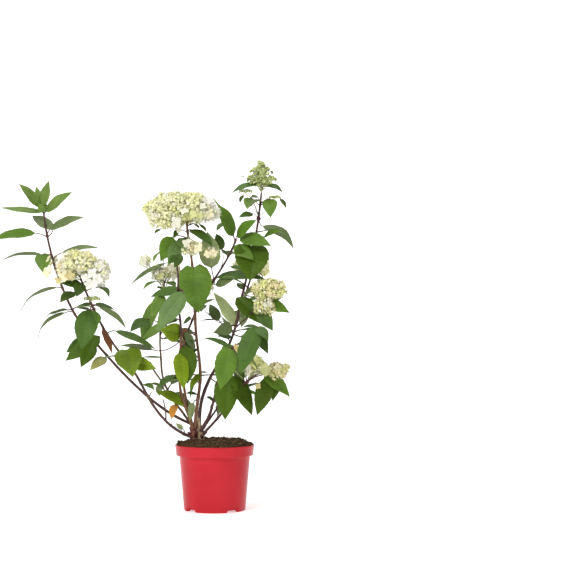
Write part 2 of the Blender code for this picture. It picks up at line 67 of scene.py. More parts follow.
class Limb:
    def __init__(self, foot, tip, leans, pulls, radii, drift=1.3, waves=()):
        self.foot, self.tip = np.array(foot, float), np.array(tip, float)
        self.leans = [math.radians(a) for a in leans]
        self.pulls, self.radii, self.drift, self.waves = pulls, radii, drift, waves
        self.span = math.hypot(tip[0] - foot[0], tip[2] - foot[2])

    def at(self, t):
        a, b = self.leans
        k0, k1 = self.pulls[0] * self.span, self.pulls[1] * self.span
        h00 = 2 * t ** 3 - 3 * t ** 2 + 1
        h10 = t ** 3 - 2 * t ** 2 + t
        h01 = -2 * t ** 3 + 3 * t ** 2
        h11 = t ** 3 - t ** 2
        x = h00 * self.foot[0] + h10 * k0 * math.sin(a) + h01 * self.tip[0] + h11 * k1 * math.sin(b)
        z = h00 * self.foot[2] + h10 * k0 * math.cos(a) + h01 * self.tip[2] + h11 * k1 * math.cos(b)
        for k, (wx, wz) in enumerate(self.waves):
            x += wx * math.sin(math.pi * (k + 1) * t)
            z += wz * math.sin(math.pi * (k + 1) * t)
        y = self.foot[1] + (self.tip[1] - self.foot[1]) * max(t, 0.0) ** self.drift
        return np.array([x, y, z])

    def radius(self, t):
        return self.radii[0] + (self.radii[1] - self.radii[0]) * min(max(t, 0.0), 1.0)

    def t_at_height(self, z):
        lo, hi = 0.0, 1.0
        for _ in range(40):
            mid = 0.5 * (lo + hi)
            if self.at(mid)[2] < z:
                lo = mid
            else:
                hi = mid
        return 0.5 * (lo + hi)

    def tangent(self, t):
        return unit(self.at(min(1.0, t + 0.01)) - self.at(max(0.0, t - 0.01)))

    def t_seen_at(self, px, py):
        """Where on the limb the camera sees the point nearest to px, py."""
        ts = np.linspace(0.0, 1.0, 161)
        d = [float(np.hypot(*(to_px(self.at(t)) - (px, py)))) for t in ts]
        return float(ts[int(np.argmin(d))])


LIMBS = {
    "far_left": Limb((-0.0475, 0.0040, 0.2050), (-0.422, 0.050, 0.728), (-64, 0), (0.80, 1.10), (0.0032, 0.0016), 1.3,
        ((0.0010, -0.0003), (-0.0026, -0.0017), (0.0008, -0.0005), (-0.0022, -0.0014), (0.0005, -0.0005))),
    "left": Limb((-0.0560, -0.0030, 0.1775), (-0.312, -0.130, 0.569), (-76, -20), (0.50, 1.10), (0.0031, 0.0015), 1.3,
        ((0.0029, 0.0019), (-0.0003, -0.0006), (-0.0036, -0.0019), (0.0009, 0.0005), (0.0015, 0.0009))),
    "centre": Limb((-0.0468, 0.0010, 0.2055), (-0.067, 0.010, 0.702), (8, -5), (0.50, 0.50), (0.0034, 0.0017), 1.3,
        ((0.0062, 0.0001), (0.0021, -0.0002), (0.0007, 0.0000), (-0.0007, 0.0004), (-0.0023, -0.0004))),
    "tall_right": Limb((-0.0376, 0.0020, 0.2165), (0.114, 0.090, 0.787), (5, 5), (0.50, 1.80), (0.0031, 0.0017), 1.3,
        ((0.0001, -0.0001), (-0.0024, 0.0010), (-0.0040, 0.0014), (0.0000, -0.0001), (0.0019, -0.0009))),
    "mid_left": Limb((-0.0515, -0.0040, 0.1960), (-0.081, -0.150, 0.588), (-36, -8), (0.70, 0.50), (0.0027, 0.0014), 1.3,
        ((0.0030, 0.0002), (0.0004, 0.0001), (-0.0009, 0.0007), (0.0025, 0.0005), (0.0023, 0.0003))),
    "mid_right": Limb((-0.0505, 0.0050, 0.1970), (0.052, 0.060, 0.662), (-22, 20), (1.80, 1.10), (0.0029, 0.0015), 1.3,
        ((0.0070, -0.0017), (0.0044, 0.0006), (0.0003, 0.0018), (-0.0001, 0.0003), (0.0007, -0.0005))),
    "back_left": Limb((-0.0515, 0.0070, 0.2000), (-0.134, 0.170, 0.554), (-47, 0), (1.40, 1.80), (0.0024, 0.0012), 1.3,
        ((0.0049, 0.0016), (0.0039, 0.0021), (-0.0006, 0.0015), (0.0007, 0.0006), (0.0006, 0.0005))),
    "front_right": Limb((-0.0290, -0.0040, 0.1985), (0.068, -0.130, 0.411), (30, 60), (1.60, 1.80), (0.0027, 0.0014), 1.3,
        ((0.0151, -0.0026), (-0.0057, 0.0015), (-0.0010, 0.0004), (0.0012, -0.0022), (0.0000, 0.0006))),
    "low_right": Limb((-0.0250, -0.0030, 0.1880), (0.107, -0.050, 0.334), (42, 60), (1.80, 1.10), (0.0027, 0.0014), 1.3,
        ((0.0029, -0.0022), (0.0007, -0.0001), (0.0001, -0.0002), (-0.0001, 0.0002), (0.0006, -0.0007))),
    "back_right": Limb((-0.0350, 0.0085, 0.2080), (0.086, 0.235, 0.572), (14, 12), (0.60, 1.00), (0.0027, 0.0014), 1.0,
        ((-0.0074, 0.0028), (-0.0064, 0.0023), (-0.0037, 0.0012), (0.0013, -0.0005), (0.0002, -0.0004))),
    "back_centre": Limb((-0.0440, 0.0060, 0.2030), (-0.056, 0.225, 0.520), (-30, 0), (0.80, 1.00), (0.0025, 0.0013), 1.0,
        ((0.0222, -0.0005), (0.0076, 0.0010), (-0.0022, 0.0013), (-0.0002, 0.0004), (-0.0006, 0.0002))),
    "back_low_right": Limb((-0.0280, 0.0060, 0.1950), (0.080, 0.205, 0.300), (45, 40), (0.90, 0.80), (0.0023, 0.0013), 1.0,
        ((-0.0077, 0.0077), (-0.0005, 0.0004), (0.0003, -0.0004), (0.0001, -0.0001), (0.0002, -0.0003))),
    "back_low_left": Limb((-0.0530, 0.0060, 0.1980), (-0.170, 0.185, 0.352), (-60, -20), (0.90, 0.80), (0.0023, 0.0013), 1.0,
        ((0.0103, 0.0065), (0.0013, 0.0023), (-0.0002, 0.0005), (0.0014, 0.0011), (-0.0003, -0.0000))),
}
_tall = LIMBS["tall_right"]
_fork = _tall.at(_tall.t_at_height(0.440))
LIMBS["twig_right"] = Limb(tuple(_fork), (0.112, 0.000, 0.515), (48, 12), (1.0, 0.9), (0.0017, 0.0012))

STUB_X, STUB_Y, STUB_Z0, STUB_Z1 = -0.0290, 0.0, 0.1670, 0.2240
CLUMP_X, CLUMP_Y, CLUMP_Z1 = -0.0500, 0.0015, 0.2060
POT_H, RIM_R, RIM_FOOT_R, NECK_R, BASE_R, BAND_H, WALL = 0.159, 0.0962, 0.0938, 0.0861, 0.0745, 0.0255, 0.0018
POT_X = 0.0012


# ------------------------------------------------------------------ building meshes

class Heap:
    """Collects many small shapes into one mesh."""

    def __init__(self, mats):
        self.mats = mats
        self.index = {m["key"]: i for i, m in enumerate(mats)}
        self.v, self.f, self.m = [], [], []
        self.n = 0

    def add(self, verts, faces, mat):
        verts = np.asarray(verts, float)
        self.v.append(verts)
        n = self.n
        if isinstance(mat, (list, tuple, np.ndarray)):
            for f, k in zip(faces, mat):
                self.f.append([i + n for i in f])
                self.m.append(self.index[k])
        else:
            k = self.index[mat]
            for f in faces:
                self.f.append([i + n for i in f])
                self.m.append(k)
        self.n += len(verts)

    def make(self, name, smooth=True, sharp=None):
        mesh = bpy.data.meshes.new(name)
        verts = np.concatenate(self.v)
        mesh.from_pydata(verts.tolist(), [], self.f)
        for m in self.mats:
            mesh.materials.append(m)
        mesh.polygons.foreach_set("material_index", self.m)
        if smooth:
            mesh.shade_smooth()
            if sharp:
                mesh.set_sharp_from_angle(angle=math.radians(sharp))
        mesh.validate()
        mesh.update()
        print("triangles", name, sum(len(f) - 2 for f in self.f))
        ob = bpy.data.objects.new(name, mesh)
        bpy.context.scene.collection.objects.link(ob)
        return ob


def tube(heap, pts, radii, sides, mat, relief=None, caps=True, point=False):
    pts = [np.asarray(p, float) for p in pts]
    n = len(pts)
    side = None
    verts, faces = [], []
    for i in range(n):
        tan = unit(pts[min(i + 1, n - 1)] - pts[max(i - 1, 0)])
        if side is None:
            side = unit(np.cross(tan, (0.3, 0.9, 0.1) if abs(tan[1]) < 0.8 else (1, 0, 0)))
        side = unit(side - tan * side.dot(tan))
        other = np.cross(tan, side)
        for k in range(sides):
            a = 2.0 * math.pi * k / sides
            r = radii[i] + (relief(i, k) if relief else 0.0)
            verts.append(pts[i] + (side * math.cos(a) + other * math.sin(a)) * r)
    for i in range(n - 1):
        for k in range(sides):
            k2 = (k + 1) % sides
            faces.append((i * sides + k, i * sides + k2, (i + 1) * sides + k2, (i + 1) * sides + k))
    if caps:
        faces.append(tuple(reversed(range(sides))))
        faces.append(tuple((n - 1) * sides + k for k in range(sides)))
    heap.add(verts, faces, mat)


def bezier(p0, p1, p2, n):
    out = []
    for i in range(n):
        t = i / (n - 1)
        out.append((1 - t) ** 2 * p0 + 2 * t * (1 - t) * p1 + t * t * p2)
    return out


# ------------------------------------------------------------------ materials

def new_mat(name):
    m = bpy.data.materials.new(name)
    m["key"] = name
    m.use_nodes = True
    return m, m.node_tree.nodes, m.node_tree.links, m.node_tree.nodes["Principled BSDF"]


def speckled(name, dark, light, rough=(0.4, 0.6), scale=60.0, fine=600.0, bump=0.2, bump_d=0.0004,
             spec=0.5, cells=None, coat=0.0, stretch=None, mid=None, sss=0.0, sheen=0.0):
    """Plant surface: colour wanders between dark and light, with a fine relief of its own."""
    m, N, L, bsdf = new_mat(name)
    tc = N.new("ShaderNodeTexCoord")
    vec = tc.outputs["Object"]
    if stretch:
        mp = N.new("ShaderNodeMapping")
        mp.inputs["Scale"].default_value = stretch
        L.new(vec, mp.inputs["Vector"])
        vec = mp.outputs["Vector"]
    n1 = N.new("ShaderNodeTexNoise")
    n1.inputs["Scale"].default_value = scale
    n1.inputs["Detail"].default_value = 6.0
    n1.inputs["Roughness"].default_value = 0.6
    L.new(vec, n1.inputs["Vector"])
    ramp = N.new("ShaderNodeValToRGB")
    ramp.color_ramp.elements[0].position = 0.28
    ramp.color_ramp.elements[0].color = (*dark, 1)
    ramp.color_ramp.elements[1].position = 0.72
    ramp.color_ramp.elements[1].color = (*light, 1)
    if mid:
        e = ramp.color_ramp.elements.new(0.5)
        e.color = (*mid, 1)
    L.new(n1.outputs["Fac"], ramp.inputs["Fac"])
    L.new(ramp.outputs["Color"], bsdf.inputs["Base Color"])
    n2 = N.new("ShaderNodeTexNoise")
    n2.inputs["Scale"].default_value = fine
    n2.inputs["Detail"].default_value = 4.0
    L.new(vec, n2.inputs["Vector"])
    height = n2.outputs["Fac"]
    if cells:
        vo = N.new("ShaderNodeTexVoronoi")
        vo.feature = "DISTANCE_TO_EDGE"
        vo.inputs["Scale"].default_value = cells
        L.new(vec, vo.inputs["Vector"])
        mx = N.new("ShaderNodeMath")
        mx.operation = "MULTIPLY_ADD"
        mx.inputs[1].default_value = 1.6
        L.new(vo.outputs["Distance"], mx.inputs[0])
        L.new(n2.outputs["Fac"], mx.inputs[2])
        height = mx.outputs["Value"]
    bp = N.new("ShaderNodeBump")
    bp.inputs["Strength"].default_value = bump
    bp.inputs["Distance"].default_value = bump_d
    L.new(height, bp.inputs["Height"])
    L.new(bp.outputs["Normal"], bsdf.inputs["Normal"])
    mr = N.new("ShaderNodeMapRange")
    mr.inputs["To Min"].default_value = rough[0]
    mr.inputs["To Max"].default_value = rough[1]
    L.new(n2.outputs["Fac"], mr.inputs["Value"])
    L.new(mr.outputs["Result"], bsdf.inputs["Roughness"])
    bsdf.inputs["Specular IOR Level"].default_value = spec
    if coat:
        bsdf.inputs["Coat Weight"].default_value = coat
        bsdf.inputs["Coat Roughness"].default_value = 0.15
    return m


def shade(c, k):
    return tuple(min(1.0, x * k) for x in c)


LEAF_TOP = {
    "leaf_mid": (0.102, 0.196, 0.020),
    "leaf_dark": (0.050, 0.096, 0.013),
    "leaf_deep": (0.064, 0.128, 0.019),
    "leaf_forest": (0.057, 0.110, 0.003),
    "leaf_dusk": (0.052, 0.098, 0.003),
    "leaf_soft": (0.142, 0.222, 0.044),
    # the next tint: the pale underside colour made brighter than under_pale, painted light for a leaf turned away from
    # the lamps
    "leaf_pale": (0.480, 0.560, 0.250),
    # the next tint: a grey-blue sheen painted into the leaf's base colour; its higher specular level below reflects for
    # real
    "leaf_blue": (0.118, 0.200, 0.050),
    "leaf_olive": (0.140, 0.185, 0.070),
    "leaf_yellow": (0.126, 0.196, 0.009),
    "leaf_light": (0.140, 0.238, 0.040),
    "leaf_fresh": (0.178, 0.262, 0.008),
    "leaf_gold": (0.340, 0.340, 0.100),
    "leaf_orange": (0.560, 0.240, 0.035),
    "leaf_apricot": (0.640, 0.440, 0.190),
    "leaf_brown": (0.200, 0.078, 0.030),
}
LEAF_LOW = {
    "under_pale": (0.300, 0.360, 0.150),
    "under_mid": (0.150, 0.205, 0.070),
    "under_dark": (0.085, 0.120, 0.040),
}
MATS = {}
for nm, c in LEAF_TOP.items():
    MATS[nm] = speckled(nm, shade(c, 0.80), shade(c, 1.20), rough=(0.44, 0.60), scale=26.0, fine=420.0,
                        bump=0.35, bump_d=0.0005, spec=0.32 if nm == "leaf_blue" else 0.16, cells=380.0)
for nm, c in LEAF_LOW.items():
    MATS[nm] = speckled(nm, shade(c, 0.86), shade(c, 1.14), rough=(0.62, 0.78), scale=30.0, fine=500.0,
                        bump=0.35, bump_d=0.0005, spec=0.15, cells=300.0)
# rib and vein_mid are darker than the leaf_mid blade that they line: painted shade in its sunk midrib and side veins,
# added to the shade that the relief casts
VEIN = {
    "rib": (0.092, 0.172, 0.022),
    "rib_forest": (0.046, 0.092, 0.004),
    "rib_soft": (0.180, 0.270, 0.075),
    "rib_dark": (0.088, 0.150, 0.030),
    "rib_pale": (0.150, 0.245, 0.078),
    "rib_gold": (0.400, 0.400, 0.160),
    "rib_under": (0.340, 0.390, 0.200),
    "vein_mid": (0.076, 0.148, 0.014),
    "vein_dark": (0.064, 0.118, 0.020),
    "vein_blue": (0.132, 0.222, 0.066),
    "vein_brown": (0.240, 0.110, 0.050),
}
for nm, c in VEIN.items():
    MATS[nm] = speckled(nm, shade(c, 0.90), shade(c, 1.10), rough=(0.45, 0.6), scale=80.0, bump=0.15, spec=0.2)
MATS["petiole"] = speckled("petiole", (0.070, 0.028, 0.024), (0.150, 0.080, 0.048), rough=(0.45, 0.65), scale=40.0,
                           fine=900.0, spec=0.4)
MATS["bark"] = speckled("bark", (0.0312, 0.0125, 0.0109), (0.0972, 0.0418, 0.0302), rough=(0.45, 0.70), scale=55.0,
                        fine=1200.0, bump=0.5, bump_d=0.0006, spec=0.4, stretch=(1, 1, 0.25), mid=(0.075, 0.030, 0.024))
MATS["stub_bark"] = speckled("stub_bark", (0.070, 0.040, 0.022), (0.560, 0.440, 0.290), rough=(0.7, 0.95), scale=120.0,
                             fine=900.0, bump=0.9, bump_d=0.0012, spec=0.2, stretch=(1, 1, 0.35), mid=(0.330, 0.240, 0.145))
MATS["shoot_brown"] = speckled("shoot_brown", (0.090, 0.036, 0.020), (0.300, 0.135, 0.070), rough=(0.45, 0.70), scale=45.0,
                               fine=1200.0, bump=0.5, bump_d=0.0006, spec=0.35, stretch=(1, 1, 0.25), mid=(0.190, 0.085, 0.045))
MATS["shoot_olive"] = speckled("shoot_olive", (0.070, 0.045, 0.022), (0.220, 0.150, 0.070), rough=(0.45, 0.70), scale=45.0,
                               fine=1200.0, bump=0.5, bump_d=0.0006, spec=0.35, stretch=(1, 1, 0.25), mid=(0.140, 0.090, 0.045))
MATS["node_red"] = speckled("node_red", (0.050, 0.008, 0.008), (0.150, 0.024, 0.020), rough=(0.4, 0.6), scale=90.0,
                            fine=900.0, bump=0.5, bump_d=0.0005, spec=0.35)
MATS["stalk"] = speckled("stalk", (0.380, 0.410, 0.150), (0.600, 0.620, 0.300), rough=(0.5, 0.7), scale=60.0, spec=0.3)
FLORET = {
    "petal_cream": (0.960, 0.945, 0.620),
    "petal_lime": (0.850, 0.860, 0.390),
    "petal_white": (0.960, 0.945, 0.800),
    "petal_pale": (0.960, 0.950, 0.850),
    "petal_dusk": (0.860, 0.765, 0.450),
    "petal_peach": (0.920, 0.800, 0.520),
    "petal_bud": (0.760, 0.770, 0.340),
}
for nm, c in FLORET.items():
    MATS[nm] = speckled(nm, shade(c, 0.86), shade(c, 1.06), rough=(0.5, 0.7), scale=150.0, fine=1500.0, bump=0.2,
                        bump_d=0.0002, spec=0.3)
SEPAL = {
    "sepal_white": (0.770, 0.755, 0.600),
    "sepal_pale": (0.840, 0.830, 0.740),
    "sepal_cream": (0.810, 0.750, 0.480),
    "sepal_lime": (0.610, 0.620, 0.270),
    "sepal_yellow": (0.630, 0.530, 0.235),
}
for nm, c in SEPAL.items():
    MATS[nm] = speckled(nm, shade(c, 0.88), shade(c, 1.05), rough=(0.5, 0.68), scale=70.0, fine=900.0, bump=0.35,
                        bump_d=0.0003, spec=0.3, cells=500.0)
MATS["eye"] = speckled("eye", (0.640, 0.640, 0.240), (0.820, 0.810, 0.420), rough=(0.5, 0.7), scale=400.0, spec=0.3)
MATS["bud"] = speckled("bud", (0.420, 0.500, 0.170), (0.640, 0.700, 0.320), rough=(0.45, 0.65), scale=160.0, spec=0.35)
MATS["bud_dark"] = speckled("bud_dark", (0.130, 0.165, 0.035), (0.260, 0.310, 0.095), rough=(0.45, 0.65), scale=160.0,
                            spec=0.35)
MATS["soil"] = speckled("soil", (0.027, 0.016, 0.008), (0.170, 0.108, 0.055), rough=(0.85, 1.0), scale=260.0,
                        fine=1400.0, bump=1.0, bump_d=0.0012, spec=0.1, mid=(0.078, 0.047, 0.023))
MATS["crumb"] = speckled("crumb", (0.028, 0.016, 0.008), (0.200, 0.125, 0.066), rough=(0.85, 1.0), scale=180.0,
                         fine=1500.0, bump=0.8, bump_d=0.0008, spec=0.1, mid=(0.070, 0.040, 0.020))
MATS["fibre"] = speckled("fibre", (0.200, 0.120, 0.065), (0.420, 0.300, 0.180), rough=(0.8, 1.0), scale=180.0,
                         fine=1500.0, bump=0.4, bump_d=0.0004, spec=0.15)


# ------------------------------------------------------------------ leaves

VEINS = 7
VEIN_HALF = 0.0042


def leaf_rows(veins):
    """Rows across a blade: two that edge each side vein, one on the swell between veins."""
    t, kind = [0.0], [0]
    for k in range(veins):
        c = 0.07 + 0.80 * ((k + 0.35) / veins) ** 0.95
        if k == 0:
            t.append(c * 0.5)
            kind.append(1)
        t += [c - VEIN_HALF, c + VEIN_HALF]
        kind += [2, 3]
        nxt = 0.07 + 0.80 * ((k + 1.35) / veins) ** 0.95 if k < veins - 1 else 1.0
        if k < veins - 1:
            t.append(0.5 * (c + nxt))
            kind.append(1)
        else:
            t += [c + (1.0 - c) * 0.34, c + (1.0 - c) * 0.68]
            kind += [1, 0]
    t.append(1.0)
    kind.append(0)
    return np.array(t), np.array(kind)


FULL_ROWS = leaf_rows(VEINS)
COLS = np.array([-1.0, -0.70, -0.36, -0.035, 0.035, 0.36, 0.70, 1.0])
PLAIN_ROWS = (np.linspace(0.0, 1.0, 8), np.array([0, 1, 2, 1, 2, 1, 2, 0]))


def half_width(s):
    """Ovate outline with a drawn-out tip, 1 at its widest."""
    s = np.clip(s, 0.0, 1.0)
    w = s ** 0.58 * (1.0 - s) ** 0.90
    w = w / (0.392 ** 0.58 * 0.608 ** 0.90)
    return w * (1.0 - 0.42 * s ** 5)


def tailed_width(s):
    """Ovate outline whose last third is a thin tail."""
    s = np.clip(s, 0.0, 1.0)
    w = np.where(s < 0.74, half_width(s / 0.80), half_width(np.full_like(s, 0.925)) * (1.0 - s) / 0.26)
    return np.maximum(w, 0.0)


def leaf(heap, base, tip, normal, width, rng, top="leaf_mid", low="under_pale", arch=0.10, fold=0.22, curl=0.18,
         twist=0.0, sway=0.0, wave=0.05, rows=FULL_ROWS, cols=COLS, relief=1.0, serrate=True, thick=0.00035, veined=True,
         outline=half_width, sweep=0.15, hook=0.0, lobe=0.0):
    """A blade: a closed thin sheet, bowed along its midrib, folded up along it, swollen between its side veins.
    Its upper side looks along the normal."""
    base, tip = np.asarray(base, float), np.asarray(tip, float)
    L = float(np.linalg.norm(tip - base))
    a = unit(tip - base)
    n = unit(normal - a * np.dot(normal, a))
    side = np.cross(n, a)
    t, kind = rows
    u = cols
    au = np.abs(u)
    sw = sweep * np.sin(np.pi * t) ** 0.8 * (1.0 - t) ** 0.15
    s = np.minimum(t[:, None] + sw[:, None] * au[None, :], 1.0)
    s = s - lobe * (1.0 - t[:, None]) ** 7 * au[None, :] ** 1.2
    s_margin = np.minimum(t + sw, 1.0)
    w = np.maximum(outline(s_margin), 0.012) * width * 0.5
    if serrate:
        tooth = np.where(kind == 1, 0.030, -0.012)
        w = w * (1.0 + tooth * np.sin(np.pi * t) ** 0.3)
    # the midrib bows up between its ends; a hook bends the last third down more
    h = arch * L * 4.0 * s * (1.0 - s) * (1.0 + 0.35 * (s - 0.5)) - hook * L * np.clip(s - 0.62, 0, 1) ** 2
    slope = np.arctan(arch * 4.0 * (1 - 2 * s) - hook * 2.0 * np.clip(s - 0.62, 0, 1))
    lat = sway * L * np.sin(np.pi * s)
    tw = twist * s
    off = u[None, :] * w[:, None]
    rise = fold * np.abs(off) - curl * np.abs(off) * au[None, :] ** 2
    ph = rng.uniform(0, 6.28)
    rise = rise + (wave * width * 0.5 * np.sin(2 * np.pi * 2.2 * s + ph + (u[None, :] > 0) * 2.1)
                   * au[None, :] ** 2 * np.sin(np.pi * s))
    swell = np.where(kind == 1, 1.0, np.where(kind == 0, 0.0, -0.75))
    belly = np.sin(np.pi * np.clip(au, 0, 1)) ** 0.6
    belly[au < 0.1] = 0.0
    rise = rise + relief * 0.0085 * L * swell[:, None] * belly[None, :] * outline(t)[:, None] * min(1.0, width / (0.4 * L))
    rise = rise - relief * 0.010 * width * (au[None, :] < 0.1) * np.sin(np.pi * t)[:, None] ** 0.5
    T = a[None, None, :]
    Nn = n[None, None, :] * np.cos(slope)[..., None] - a[None, None, :] * np.sin(slope)[..., None]
    S = np.broadcast_to(side, Nn.shape)
    c, sn = np.cos(tw)[..., None], np.sin(tw)[..., None]
    S2 = S * c + Nn * sn
    N2 = Nn * c - S * sn
    P = (base[None, None, :] + T * (L * s)[..., None] + n[None, None, :] * h[..., None]
         + side[None, None, :] * lat[..., None] + S2 * off[..., None] + N2 * rise[..., None])
    nr, nc = P.shape[:2]
    top_v = P.reshape(-1, 3)
    low_id, low_v = {}, []
    for r in range(1, nr - 1):
        for q in range(1, nc - 1):
            low_id[(r, q)] = nr * nc + len(low_v)
            extra = 0.0007 * (1 - r / nr) + 0.0002 if (veined and au[q] < 0.1) else 0.0
            if veined and kind[r] >= 2 and au[q] < 0.9:
                extra += 0.00015
            low_v.append(P[r, q] - N2[r, q] * (thick + extra))
    faces, mats = [], []
    mid = nc // 2 - 1

    def lid(r, q):
        return low_id.get((r, q), r * nc + q)

    for r in range(nr - 1):
        vein_row = veined and kind[r] == 2 and kind[r + 1] == 3
        for q in range(nc - 1):
            on_rib = veined and q == mid and r < nr - 2
            on_vein = vein_row and 0 < q < nc - 2
            faces.append((r * nc + q, (r + 1) * nc + q, (r + 1) * nc + q + 1, r * nc + q + 1))
            mats.append(RIBS[top] if on_rib else (VEIN_OF[top] if on_vein else top))
            faces.append((lid(r, q), lid(r, q + 1), lid(r + 1, q + 1), lid(r + 1, q)))
            mats.append(RIBS[low] if on_rib else (VEIN_OF[low] if on_vein else low))
    heap.add(np.vstack([top_v, np.array(low_v)]), faces, mats)


RIBS = {"leaf_mid": "rib", "leaf_dark": "rib_dark", "leaf_deep": "vein_mid", "leaf_blue": "rib_pale", "leaf_olive": "rib_pale",
        "leaf_yellow": "rib", "leaf_fresh": "rib", "leaf_light": "rib_pale", "leaf_gold": "rib_gold", "leaf_orange": "rib_gold", "leaf_apricot": "rib_gold",
        "leaf_brown": "vein_brown", "under_pale": "rib_under", "under_mid": "rib_under", "under_dark": "rib",
        "leaf_forest": "rib_forest", "leaf_dusk": "rib_forest", "leaf_soft": "rib_soft", "leaf_pale": "rib_under"}
VEIN_OF = {"leaf_mid": "vein_mid", "leaf_dark": "vein_dark", "leaf_deep": "vein_dark", "leaf_blue": "vein_blue",
           "leaf_olive": "rib", "leaf_yellow": "rib", "leaf_fresh": "rib", "leaf_light": "vein_blue", "leaf_gold": "rib", "leaf_orange": "vein_brown", "leaf_apricot": "rib_gold",
           "leaf_brown": "vein_brown", "under_pale": "rib_under", "under_mid": "rib_under", "under_dark": "vein_mid",
           "leaf_forest": "rib_forest", "leaf_dusk": "rib_forest", "leaf_soft": "rib", "leaf_pale": "rib_under"}
TOPS = {"g": "leaf_mid", "d": "leaf_dark", "m": "leaf_deep", "b": "leaf_blue", "e": "leaf_olive", "y": "leaf_yellow",
        "l": "leaf_light", "P": "under_pale", "Y": "leaf_gold", "O": "leaf_orange", "A": "leaf_apricot", "o": "leaf_brown", "n": "leaf_forest", "N": "leaf_dusk",
        "t": "leaf_soft", "W": "leaf_pale", "F": "leaf_fresh"}
LOWS = {"g": "under_mid", "d": "under_dark", "m": "under_dark", "b": "under_mid", "e": "under_mid", "y": "under_mid",
        "l": "under_pale", "Y": "leaf_gold", "O": "leaf_orange", "A": "leaf_apricot", "o": "leaf_brown", "p": "under_pale", "P": "leaf_mid",
        "n": "under_dark", "N": "under_dark", "t": "under_pale", "W": "leaf_mid", "F": "under_mid"}

